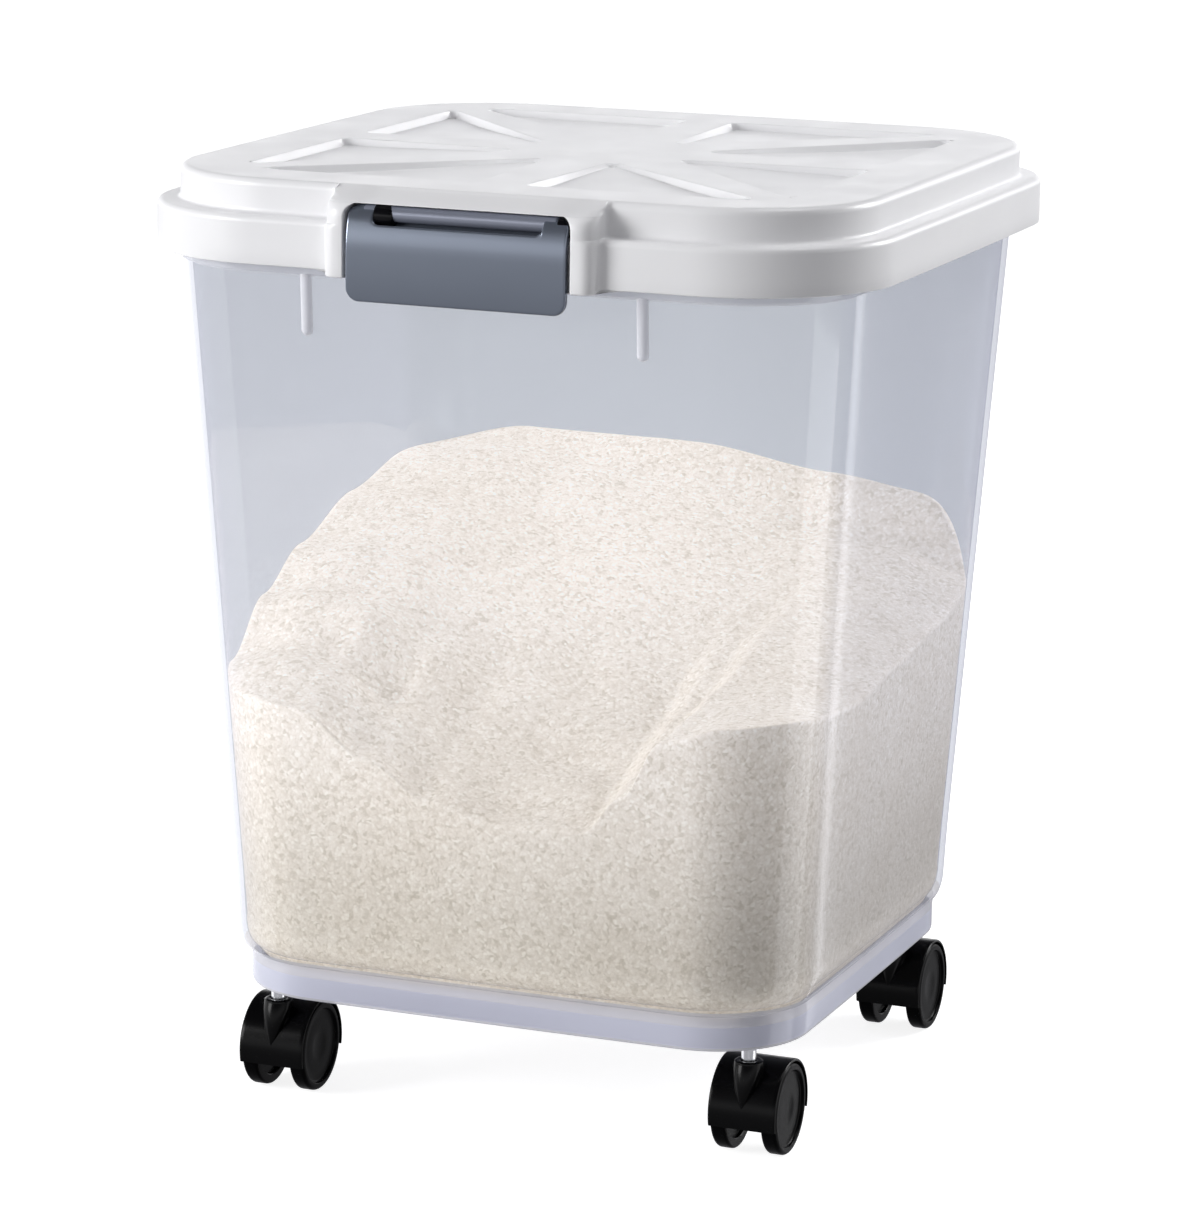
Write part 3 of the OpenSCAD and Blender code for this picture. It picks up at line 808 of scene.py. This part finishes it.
        # floor of the pocket over its own grid
        lp = idx_rings[-1]
        loop2 = [(verts[i][0], verts[i][1]) for i in lp]
        fill(verts, faces, fm, [lp], grid_inside(loop2, 6.0), floor_z)
        loops.append(idx_rings[0])
    # top face between the outline and the pockets
    fill(verts, faces, fm, [top_idx] + loops, [], lambda x, y: TOP)
    # rear hinge knuckles
    for s in (-1, 1):
        add(verts, faces, fm, knuckle(s * 90 - 6, s * 90 + 6))
    ob = build("lid_shell", verts, faces, [M_LID], fm, sharp=50)
    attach(ob, "lid")
    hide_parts("lid")
    return ob


def knuckle(x0, x1):
    """Lid side of a rear hinge: a barrel with an arm that runs up and over to the skirt"""
    sec = []
    for i in range(13):
        a = D2R(180 + 15 * i)
        sec.append((168 + 3 * math.cos(a), 371 + 3 * math.sin(a)))
    sec += [(171, 378.5), (170.6, 379.6), (169.5, 380.0), (161.0, 380.0), (161.0, 375.5), (164.2, 375.5), (164.8, 375.2), (165, 374.6)]
    rings = []
    cy, cz = 167, 374
    for x, e in ((x0, 0.5), (x0 + 0.5, 0), (x1 - 0.5, 0), (x1, 0.5)):
        rings.append([(x, y - (0.0 if y < 162 else math.copysign(e, y - cy) * 0.6), z - math.copysign(e, z - cz) * 0.6) for y, z in sec])
    return loft(rings, cap_first=True, cap_last=True, mats=[0] * 4)


# ------------------------------------------------------------------ latch

PIN_Y, PIN_Z = -163.2, 398.4
# side view of the flap's face above its straight part: it leans back and rolls over the bar
ROLL = [(396.0, -169.45), (397.0, -169.1), (398.0, -168.62), (399.0, -168.0), (400.0, -167.2), (401.0, -166.1), (401.8, -164.95),
        (402.4, -163.8), (402.85, -162.5), (403.1, -161.2), (403.2, -160.2)]


def face_y(z):
    if z <= 384:
        return -171.0 + (0.65 * ((377 - z) / 13.4) ** 2 if z < 377 else 0.0)
    if z <= 396:
        return -171.0 + 1.55 * ((z - 384) / 12.0) ** 2.3
    for (za, ya), (zb, yb) in zip(ROLL, ROLL[1:]):
        if z <= zb:
            t = (z - za) / (zb - za)
            return ya + (yb - ya) * t
    return ROLL[-1][1]


def soft(d, r):
    """How far a face falls back at a distance d from a rounded edge"""
    return r - math.sqrt(max(0.0, r * r - (r - d) ** 2)) if d < r else 0.0


def make_latch():
    Z0, W2, RB, RT, SL, SR, SZ = 363.6, 48.0, 5.5, 5.0, 37.0, 3.0, 395.2
    T = 3.0
    shape = [0.14, 0.27, 0.39, 0.50, 0.60, 0.69, 0.77, 0.84, 0.895, 0.94, 0.97, 0.99, 1.0]

    def low(x):
        d = W2 - x
        return Z0 + (RB - math.sqrt(max(0.0, RB * RB - (RB - d) ** 2)) if d < RB else 0.0)

    def high(x, ear):
        if ear:
            d = W2 - x
            return 403.2 - (RT - math.sqrt(max(0.0, RT * RT - (RT - d) ** 2)) if d < RT else 0.0)
        return SZ + (SR - math.sqrt(max(0.0, SR * SR - (x - SL + SR) ** 2)) if x > SL - SR else 0.0)

    def edge_dist(x, z):
        d = min(W2 - x, z - Z0)
        px, pz = x - (W2 - RB), Z0 + RB - z
        if px > 0 and pz > 0:
            d = RB - math.hypot(px, pz)
        px, pz = x - (W2 - RT), z - (403.2 - RT)
        if px > 0 and pz > 0:
            d = min(d, RT - math.hypot(px, pz))
        return max(0.0, d)

    def slot_dist(x, z):
        px, pz = x - (SL - SR), SZ + SR - z
        if px > 0 and pz > 0:
            return max(0.0, math.hypot(px, pz) - SR)
        if px <= 0:
            return max(0.0, SZ - z)
        return max(0.0, x - SL)

    def section(x, ear):
        x = abs(x)
        zl, zh = low(x), high(x, ear)
        pts = []
        zs = [zl + f * (5.5 if f < 1 else 1) for f in (0.0, 0.01, 0.04, 0.09, 0.16, 0.25, 0.4, 0.7)]
        zs += [zl + (392.0 - zl) * f for f in (0.22, 0.42, 0.6, 0.72, 0.82, 0.91, 1.0)]
        zs += [392.0 + (zh - 392.0) * f for f in shape]
        for z in zs:
            back = max(soft(edge_dist(x, z), 0.8), soft(slot_dist(x, z), 0.7))
            if ear and z > 398.5:
                back = max(soft(max(0.0, x - SL), 0.7), soft(W2 - x, 0.8), soft(zh - z, 0.9) if zh < 403.1 else 0.0)
            pts.append((face_y(z) + back, z))
        yf, zt = pts[-1]
        if ear:
            inner = soft(max(0.0, x - SL), 0.7)
            for i in range(20):
                a = D2R(58 - (58 + 120) * i / 19)
                pts.append((PIN_Y + (4.8 - inner) * math.cos(a), min(PIN_Z + (4.8 - inner) * math.sin(a), zt)))
        else:
            th = 1.3 - 0.45 * (zh - SZ) / SR
            for i in range(1, 9):
                a = D2R(90 - 90 * i / 8)
                pts.append((yf + th * i / 8.0, zh - 0.35 * (1 - math.sin(a))))
            # a web runs back under the bar
            pts += [(-167.4, 394.6), (-165.8, 394.2), (-164.0, 394.2), (-162.2, 394.8), (-161.0, 396.1), (-160.6, 397.2), (-160.1, 397.3),
                    (-159.7, 396.8), (-160.0, 395.5), (-161.3, 394.15), (-163.6, 393.6), (-167.4, 392.7)]
        pts += [(-171 + T, 391.5), (-171 + T, 386), (-171 + T, 378), (-171 + T, 370 if zl < 367 else zl + 2), (-171 + T, zl + 0.7)]
        pts += [(-171 + T - 0.15, zl + 0.3), (-171 + T - 0.6, zl + 0.02)]
        return [(p[0], p[1]) for p in pts]
    xs = [48 - d for d in (0, 0.04, 0.14, 0.3, 0.5, 0.8, 1.1, 1.6, 2.2, 2.9, 3.7, 4.5, 5.2)] + [41.5, 39.5, 38.2, 37.7, 37.45, 37.25, 37.1, 37.03]
    half = [(x, True) for x in xs] + [(37.0, True), (37.0, False)]
    half += [(x, False) for x in (36.95, 36.8, 36.55, 36.2, 35.75, 35.2, 34.6, 34.0, 28, 21, 14, 7)]
    full = [(-x, k) for x, k in half] + [(0.0, False)] + [(x, k) for x, k in reversed(half)]
    rings = [[(x, y, z) for y, z in section(x, k)] for x, k in full]
    verts, faces, fm = loft(rings, cap_first=True, cap_last=True, mats=[0] * len(rings))
    # snap lip inside
    add(verts, faces, fm, slab(-30, 30, -168.4, -165.2, 366.0, 368.9, 0.5, 0))
    ob = build("latch_flap", verts, faces, [M_LATCH], None, sharp=38)
    bm = bmesh.new()
    bm.from_mesh(ob.data)
    bmesh.ops.remove_doubles(bm, verts=bm.verts, dist=1e-7)
    bmesh.ops.dissolve_degenerate(bm, edges=bm.edges, dist=1e-7)
    bmesh.ops.recalc_face_normals(bm, faces=bm.faces)
    bm.to_mesh(ob.data)
    bm.free()
    ob.data.set_sharp_from_angle(angle=D2R(38))
    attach(ob, "latch")
    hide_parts("front_latch")
    # bar between the ears, stepped down inside them
    prof = [(0.01, -53.7), (1.2, -53.7), (1.5, -53.4), (1.5, -42.0), (3.1, -42.0), (3.35, -41.7), (3.35, -30), (3.35, -15), (3.35, 0),
            (3.35, 15), (3.35, 30), (3.35, 41.7), (3.1, 42.0), (1.5, 42.0), (1.5, 53.4), (1.2, 53.7), (0.01, 53.7)]
    bar = build("latch_bar", *revolve_x(prof, PIN_Y, PIN_Z + 0.9, 0, 360, 48)[:2], [M_PIN], None, sharp=35)
    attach(bar, "lid")
    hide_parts("latch_pin")
    # Painted shade: a near-black collar on the inner side of the left ear only, put where the notch there lies in
    # shade.
    prof = [(2.2, -28.8), (3.1, -28.8), (3.7, -29.1), (4.1, -29.8), (4.35, -31.0), (4.5, -33.0), (4.62, -35.4), (4.62, -36.9), (2.2, -36.9)]
    cv, cf, _ = revolve_x_loop(prof, PIN_Y, PIN_Z, 48)
    col = build("latch_shade_collar", cv, cf, [M_PAINTED_SHADE], None, sharp=50)
    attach(col, "latch")
    # Painted shade: a near-black bush at the outer end of the right ear only, put where the recess beside it lies in
    # shade.
    prof = [(2.2, 42.6), (3.9, 42.6), (4.2, 42.9), (4.3, 43.3), (4.3, 48.9), (4.1, 49.2), (3.8, 49.3), (2.2, 49.3)]
    cv, cf, _ = revolve_x_loop(prof, PIN_Y, PIN_Z, 48)
    shade_plug = build("latch_shade_plug", cv, cf, [M_PAINTED_SHADE], None, sharp=50)
    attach(shade_plug, "latch")
    return ob


# ------------------------------------------------------------------ casters

STEMS = {"fl": (-109, -104.5), "fr": (109, -104.5), "rl": (-109, 91.5), "rr": (109, 91.5)}
TRAIL, AZ_, WR = 12.8, 19.8, 19.8


def revolve_x(prof, oy, oz, a0=0.0, a1=360.0, n=72, mi=0):
    """prof (r, x) turned about the X axis through (oy, oz). Angles from +Y towards +Z."""
    closed = abs(a1 - a0 - 360) < 1e-6
    steps = n if closed else n + 1
    rings = []
    for i in range(steps):
        a = D2R(a0 + (a1 - a0) * i / n)
        rings.append([(x, oy + r * math.cos(a), oz + r * math.sin(a)) for r, x in prof])
    return loft(rings, cap_first=not closed, cap_last=not closed, loop=closed, mats=[mi] * steps)


def arc_pts(cx, cy, r, a0, a1, n):
    return [(cx + r * math.cos(D2R(a0 + (a1 - a0) * i / n)), cy + r * math.sin(D2R(a0 + (a1 - a0) * i / n))) for i in range(n + 1)]


def make_caster(c):
    sx, sy = STEMS[c]
    oy = sy + TRAIL
    # hood: barrel shell over both wheels with rounded ends, solid between them
    prof = [(0.01, -7.4), (20.3, -7.4), (20.3, -14.9)]
    prof += [(20.5, -15.1)]
    prof += [(21.5 - 0.9 + 0.9 * math.sin(D2R(t)), -15.1 + 0.9 - 0.9 * math.cos(D2R(t))) for t in (15, 40, 65, 90)]
    prof += [(21.5, -13), (21.5, -9), (21.5, -4), (21.5, 4), (21.5, 9), (21.5, 13)]
    prof += [(21.5 - 0.9 + 0.9 * math.sin(D2R(t)), 15.1 - 0.9 + 0.9 * math.cos(D2R(t))) for t in (90, 65, 40, 15)]
    prof += [(20.5, 15.1), (20.3, 14.9), (20.3, 7.4), (0.01, 7.4)]
    verts, faces, fm = revolve_x([(r, x + sx) for r, x in prof], oy, AZ_, -13.5, 193.5, 90)
    # block round the axle
    add(verts, faces, fm, revolve_x([(0.01, sx - 7.4), (8.2, sx - 7.4), (8.8, sx - 6.8), (8.8, sx + 6.8), (8.2, sx + 7.4), (0.01, sx + 7.4)], oy, AZ_, 0, 360, 48))
    # stem boss with a rounded mouth
    bp = [(6.3, 28.0), (6.3, 42.3), (6.1, 43.0), (5.6, 43.4), (5.0, 43.5), (4.0, 43.5), (3.5, 43.2), (3.3, 42.6), (3.3, 36.0)]
    add(verts, faces, fm, revolve_z(bp, sx, sy, 0, 48))
    rings = []
    for i in range(15):
        t = i / 14.0
        r = 6.28 * (1 - t ** 1.9) + 0.4 * t ** 1.9
        rings.append([(sx + r * math.cos(2 * math.pi * j / 36), sy - 7.9 * t + r * math.sin(2 * math.pi * j / 36), 42.4 - 18.4 * t) for j in range(36)])
    rings.reverse()
    add(verts, faces, fm, loft(rings, cap_first=True, cap_last=True))
    ob = build(f"{c}_hood", verts, faces, [M_HOOD], fm, sharp=35)
    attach(ob, f"{c}_caster")
    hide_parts(f"{c}_caster_hood")
    # axle, its ends hidden inside the hubs
    prof = [(0.01, sx - 12.6), (1.7, sx - 12.6), (2.0, sx - 12.3), (2.0, sx - 4), (2.0, sx + 4), (2.0, sx + 12.3), (1.7, sx + 12.6), (0.01, sx + 12.6)]
    rod = build(f"{c}_axle_rod", *revolve_x(prof, oy, AZ_, 0, 360, 32)[:2], [M_AXLE], None, sharp=35)
    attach(rod, f"{c}_caster")
    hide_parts(f"{c}_axle")
    for side, s in (("left", -1), ("right", 1)):
        # wheel section (r, x) anticlockwise: hub, web, tyre with rounded shoulders, dished outer face with a raised rim
        p = [(2.06, 8.2), (2.4, 8.0), (5.6, 8.0), (6.0, 8.4), (6.2, 9.4), (6.8, 9.6), (14.8, 9.6), (15.2, 9.2), (15.4, 8.2), (15.8, 7.9)]
        p += [(18.6, 7.9)] + [(19.8 - 1.2 + 1.2 * math.sin(D2R(t)), 9.1 - 1.2 * math.cos(D2R(t))) for t in (15, 30, 45, 60, 75, 90)]
        p += [(19.8, 11.0), (19.8, 12.9)]
        p += [(19.8 - 1.7 + 1.7 * math.cos(D2R(t)), 13.2 + 1.7 * math.sin(D2R(t))) for t in (0, 15, 30, 45, 60, 75, 90)]
        p += [(17.4, 14.9)] + [(17.0 - 0.5 * math.sin(D2R(t)), 14.4 + 0.5 * math.cos(D2R(t))) for t in (0, 30, 60, 90)]
        p += [(16.3, 14.0), (16.0, 13.6), (15.4, 13.4)]
        p += [(12.0, 13.55), (8.0, 13.6), (5.6, 13.5), (5.0, 13.4), (0.01, 13.4), (0.01, 12.8), (2.06, 12.8)]
        pr = [(r, sx + s * x) for r, x in p]
        if s < 0:
            pr.reverse()
        rings = revolve_x_loop(pr, oy, AZ_, 96)
        ob = build(f"{c}_wheel_{side}_tyre", *rings[:2], [M_WHEEL], rings[2], sharp=35)
        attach(ob, f"{c}_wheel_{side[0]}")
        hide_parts(f"{c}_wheel_{side}")


def revolve_x_loop(prof, oy, oz, n):
    """Closed section turned all the way round: a torus-like solid"""
    k = len(prof)
    verts, faces, fm = [], [], []
    for i in range(n):
        a = 2 * math.pi * i / n
        verts += [(x, oy + r * math.cos(a), oz + r * math.sin(a)) for r, x in prof]
    for i in range(n):
        u = (i + 1) % n
        for j in range(k):
            v = (j + 1) % k
            faces.append((i * k + j, i * k + v, u * k + v, u * k + j))
            fm.append(0)
    return verts, faces, fm


# ------------------------------------------------------------------ rice

def lerp_table(tab, x):
    if x <= tab[0][0]:
        return tab[0][1]
    for (a, va), (b, vb) in zip(tab, tab[1:]):
        if x <= b:
            return va + (vb - va) * smooth01((x - a) / (b - a))
    return tab[-1][1]


FRONT = [(-137, 178), (-110, 184), (-85, 182), (-55, 163), (-25, 147), (10, 139), (45, 141), (62, 158), (80, 184), (105, 191), (137, 193)]
BACK = [(-139, 250), (-90, 257), (-10, 258), (55, 251), (100, 247), (139, 240)]
LEFT = [(-135, 178), (-99, 191), (-62, 213), (-21, 228), (35, 242), (92, 251), (142, 252)]
RIGHT = [(-138, 194), (-48, 188), (5, 194), (60, 200), (110, 209), (142, 236)]


def rice_height(x, y):
    """Heap that lies high against the back and runs down to the front and right walls"""
    t = max(0.0, min(1.0, (y + 138) / 280.0))
    u = max(0.0, min(1.0, (x + 138) / 276.0))
    f, b = lerp_table(FRONT, x), lerp_table(BACK, x)
    l, r = lerp_table(LEFT, y), lerp_table(RIGHT, y)
    fb = f + (b - f) * (1 - (1 - t) ** 1.7)
    lr = l + (r - l) * u
    # Coons patch from the four edges
    f0, f1, b0, b1 = lerp_table(FRONT, -138), lerp_table(FRONT, 138), lerp_table(BACK, -138), lerp_table(BACK, 138)
    tt = 1 - (1 - t) ** 1.5
    fb = f + (b - f) * tt
    bil = (f0 + (b0 - f0) * tt) * (1 - u) + (f1 + (b1 - f1) * tt) * u
    return fb + lr - bil


def make_rice():
    gap = 0.35
    m, k = 60, 95
    n = 4 * (m + 1 + k)

    def inner(z):
        o = -WALL - gap
        if z >= 79:
            return bw(z) + 2 * o, bd(z) + 2 * o, br(z) + o, 2.0
        t = math.asin(min(1, max(0, (79 - z) / 11.0))) if z > 68 else math.pi / 2
        f = 1 - math.cos(t)
        w = (bw(78) + 2 * o) * (1 - f) + (256 + 2 * o) * f
        d = (bd(78) + 2 * o) * (1 - f) + (252.5 + 2 * o) * f
        r = (br(78) + o) * (1 - f) + (41.8 + o) * f
        b = 1.5 - 0.5 * f
        if z < 68:
            s = 1 - math.cos(math.asin(min(1, (68 - z) / 6.0)))
            w, d, r, b = 256 + 2 * o - 12 * s, 252.5 + 2 * o - 12 * s, 41.8 + o - 4 * s, 1.0
        return w, d, r, b
    # height where each point of the outline meets the wall
    edge = ring(*inner(200), 200, m=m, k=k)
    hs = [rice_height(x, y) for x, y, _ in edge]
    cache = {}

    def at(z):
        z = round(z, 1)
        if z not in cache:
            cache[z] = ring(*inner(z), z, m=m, k=k)
        return cache[z]
    rows = []
    levels = 62
    for i in range(levels + 1):
        f = (i / levels)
        row = []
        for j in range(n):
            z = 62.3 + (hs[j] - 62.3) * f
            x, y, _ = at(z)[j]
            g = noise.noise(Vector((x, y, z)) * 0.55) * 0.30 + noise.noise(Vector((x, y, z)) * 1.3) * 0.18
            q = 1 - max(0.0, g) * 0.6 / 130 if 0 < i < levels else 1
            row.append((x * q, y * q, z))
        rows.append(row)
    tops = 66
    for i in range(1, tops + 1):
        s = 1 - i / (tops + 1)
        row = []
        for j in range(n):
            x0, y0, _ = rows[levels][j]
            x, y = x0 * s, y0 * s
            g = noise.noise(Vector((x, y, 5)) * 0.5) * 0.55 + noise.noise(Vector((x, y, 9)) * 0.045) * 2.2
            w = min(1.0, (1 - s) * 10)
            row.append((x, y, rice_height(x, y) + g * w))
        rows.append(row)
    verts, faces, fm = loft(rows, cap_first=True, cap_last=True)
    ob = build("rice_fill", verts, faces, [M_RICE], fm)
    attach(ob, "bin")
    return ob


# ------------------------------------------------------------------ carried-over CAD nodes

def dress(node, mat, smooth=30):
    o = nodes[node]
    if not o.material_slots:
        o.data.materials.append(mat)
    for s in o.material_slots:
        s.material = mat


make_tub()
make_lid()
make_latch()
for c in STEMS:
    make_caster(c)
make_rice()
dress("lid_seal", M_SEAL)
dress("hinge_pin_left", M_STEEL)
dress("hinge_pin_right", M_STEEL)
for c in STEMS:
    dress(f"{c}_caster_stem", M_ZINC)
    dress(f"{c}_grip_ring", M_STEEL)

# ------------------------------------------------------------------ floor, light, camera

fm_, fnt, fout = new_mat("floor_paper")
fn = tex_noise(fnt, 30.0, 2.0)
fr_ = ramp(fnt, fn.outputs["Fac"], [(0.3, (0.455, 0.455, 0.46)), (0.7, (0.47, 0.47, 0.475))])
fd = fnt.nodes.new("ShaderNodeBsdfDiffuse")
fnt.links.new(fr_.outputs["Color"], fd.inputs["Color"])
fe = fnt.nodes.new("ShaderNodeEmission")
flp = fnt.nodes.new("ShaderNodeLightPath")
ftc = fnt.nodes.new("ShaderNodeTexCoord")
fmv = fnt.nodes.new("ShaderNodeVectorMath")
fmv.operation = "ADD"
fmv.inputs[1].default_value = (0, 2.0, 0)
fnt.links.new(ftc.outputs["Object"], fmv.inputs[0])
fln = fnt.nodes.new("ShaderNodeVectorMath")
fln.operation = "LENGTH"
fnt.links.new(fmv.outputs[0], fln.inputs[0])
ffar = map_range(fnt, fln.outputs["Value"], 0.22, 0.95, 0.86, 1.0)
fs = math_node(fnt, "MULTIPLY", flp.outputs["Is Camera Ray"], ffar.outputs["Result"])
fnt.links.new(fs.outputs[0], fe.inputs["Strength"])
fa = fnt.nodes.new("ShaderNodeAddShader")
fnt.links.new(fd.outputs[0], fa.inputs[0])
fnt.links.new(fe.outputs[0], fa.inputs[1])
fnt.links.new(fa.outputs[0], fout.inputs["Surface"])
bpy.ops.mesh.primitive_plane_add(size=14, location=(0, 2.0, 0))
floor = bpy.context.object
floor.name = "studio_floor"
floor.data.materials.append(fm_)
floor.visible_glossy = False

# White backdrop for the eye, a softer room for the light, darker overhead for reflections
world = bpy.data.worlds.new("studio")
bpy.context.scene.world = world
world.use_nodes = True
wt = world.node_tree
bg = wt.nodes["Background"]
wlp = wt.nodes.new("ShaderNodeLightPath")
wtc = wt.nodes.new("ShaderNodeTexCoord")
wsep = wt.nodes.new("ShaderNodeSeparateXYZ")
wt.links.new(wtc.outputs["Generated"], wsep.inputs[0])
wel = map_range(wt, wsep.outputs[2], -1.0, 1.0, 0.0, 1.0)
wr = ramp(wt, wel.outputs["Result"], [(0.0, (0.16, 0.16, 0.17)), (0.38, (0.28, 0.28, 0.29)), (0.475, (0.40, 0.40, 0.41)), (0.505, (0.90, 0.90, 0.91)),
                                      (0.59, (0.90, 0.90, 0.92)), (0.66, (0.13, 0.13, 0.14)), (0.77, (0.03, 0.03, 0.035)), (1.0, (0.025, 0.025, 0.03))])
wg = wt.nodes.new("ShaderNodeMix")
wg.data_type = "RGBA"
wg.blend_type = "MULTIPLY"
wg.inputs[0].default_value = 1.0
wt.links.new(wr.outputs["Color"], wg.inputs[6])
wg.inputs[7].default_value = (1.65, 1.65, 1.65, 1)
g_or_d = wt.nodes.new("ShaderNodeMix")
g_or_d.data_type = "RGBA"
wt.links.new(wlp.outputs["Is Glossy Ray"], g_or_d.inputs[0])
g_or_d.inputs[6].default_value = (0.28, 0.28, 0.29, 1)
wt.links.new(wg.outputs[2], g_or_d.inputs[7])
c_or = wt.nodes.new("ShaderNodeMix")
c_or.data_type = "RGBA"
wt.links.new(wlp.outputs["Is Camera Ray"], c_or.inputs[0])
wt.links.new(g_or_d.outputs[2], c_or.inputs[6])
c_or.inputs[7].default_value = (1, 1, 1, 1)
wt.links.new(c_or.outputs[2], bg.inputs["Color"])
bg.inputs["Strength"].default_value = 1.0


def area(name, az, el, dist, sx, sy, power, target=(0, 0, 0.22), col=(1, 1, 1)):
    ld = bpy.data.lights.new(name, "AREA")
    ld.shape = "RECTANGLE"
    ld.size, ld.size_y = sx, sy
    ld.energy = power
    ld.color = col
    o = bpy.data.objects.new(name, ld)
    bpy.context.scene.collection.objects.link(o)
    a, e = D2R(az), D2R(el)
    d = Vector((math.sin(a) * math.cos(e), -math.cos(a) * math.cos(e), math.sin(e)))
    o.location = Vector(target) + d * dist
    o.rotation_mode = "QUATERNION"
    o.rotation_quaternion = d.to_track_quat("Z", "Y")
    o.visible_camera = False
    return o


area("key", -46, 16, 2.4, 1.0, 1.0, 45)
area("side", 138, 24, 2.4, 0.9, 1.0, 38)
area("top", 100, 68, 2.4, 1.0, 1.0, 12.5)


def strip(name, p, q, z0, z1, power):
    """Upright strip light between two floor points, seen only in reflections"""
    (ax, ay), (bx, by) = p, q
    ld = bpy.data.lights.new(name, "AREA")
    ld.shape = "RECTANGLE"
    ld.size, ld.size_y = math.hypot(bx - ax, by - ay), z1 - z0
    ld.energy = power
    o = bpy.data.objects.new(name, ld)
    bpy.context.scene.collection.objects.link(o)
    mx, my = (ax + bx) / 2, (ay + by) / 2
    nrm = Vector((by - ay, ax - bx, 0)).normalized()
    if nrm.dot(Vector((mx, my, 0))) < 0:
        nrm = -nrm
    o.location = (mx, my, (z0 + z1) / 2)
    o.rotation_mode = "QUATERNION"
    o.rotation_quaternion = nrm.to_track_quat("Z", "Y")
    o.visible_camera = False
    o.visible_diffuse = False


def panel(name, c, width, height, tilt, power):
    """Narrow strip light behind the right side, leaning with the tub's draft, seen only in reflections"""
    ld = bpy.data.lights.new(name, "AREA")
    ld.shape = "RECTANGLE"
    ld.size, ld.size_y = width, height
    ld.energy = power
    o = bpy.data.objects.new(name, ld)
    bpy.context.scene.collection.objects.link(o)
    u = Vector((math.cos(tilt), 0, -math.sin(tilt)))
    v = Vector((math.sin(tilt), 0, math.cos(tilt)))
    n = u.cross(v)
    if n.y > 0:
        u, n = -u, -n
    # the light shines along its own -Z, here towards the front
    m = Matrix((u, v, -n)).transposed()
    if m.determinant() < 0:
        m = Matrix((-u, v, -n)).transposed()
    o.rotation_mode = "QUATERNION"
    o.rotation_quaternion = m.to_quaternion()
    o.location = c
    o.visible_camera = False
    o.visible_diffuse = False


strip("corner_glow", (0.5520, -0.0950), (0.4600, 0.1530), -0.30, 0.25, 0.62)
strip("left_wall", (-0.620, -0.420), (-0.450, 0.450), -0.30, 0.30, 1.4)
panel("side_band", (0.2920, 0.335, 0.060), 0.0120, 0.56, math.radians(5.3), 0.048)

cam_d = bpy.data.cameras.new("photo_camera")
cam = bpy.data.objects.new("photo_camera", cam_d)
bpy.context.scene.collection.objects.link(cam)
AZ, EL, RO = D2R(21.37), D2R(12.46), D2R(0.80)
back = Vector((math.sin(AZ) * math.cos(EL), -math.cos(AZ) * math.cos(EL), math.sin(EL)))
right = Vector((math.cos(AZ), math.sin(AZ), 0))
up = back.cross(right)
rr = right * math.cos(RO) + up * math.sin(RO)
uu = -right * math.sin(RO) + up * math.cos(RO)
cam.matrix_world = Matrix((
    (rr.x, uu.x, back.x, 0.7614),
    (rr.y, uu.y, back.y, -1.9506),
    (rr.z, uu.z, back.z, 0.6658),
    (0, 0, 0, 1)))
cam_d.sensor_width = 36.0
cam_d.lens = 142.18
cam_d.clip_start, cam_d.clip_end = 0.05, 40
bpy.context.scene.camera = cam
bpy.context.scene.view_settings.view_transform = "Standard"
bpy.context.scene.view_settings.look = "None"
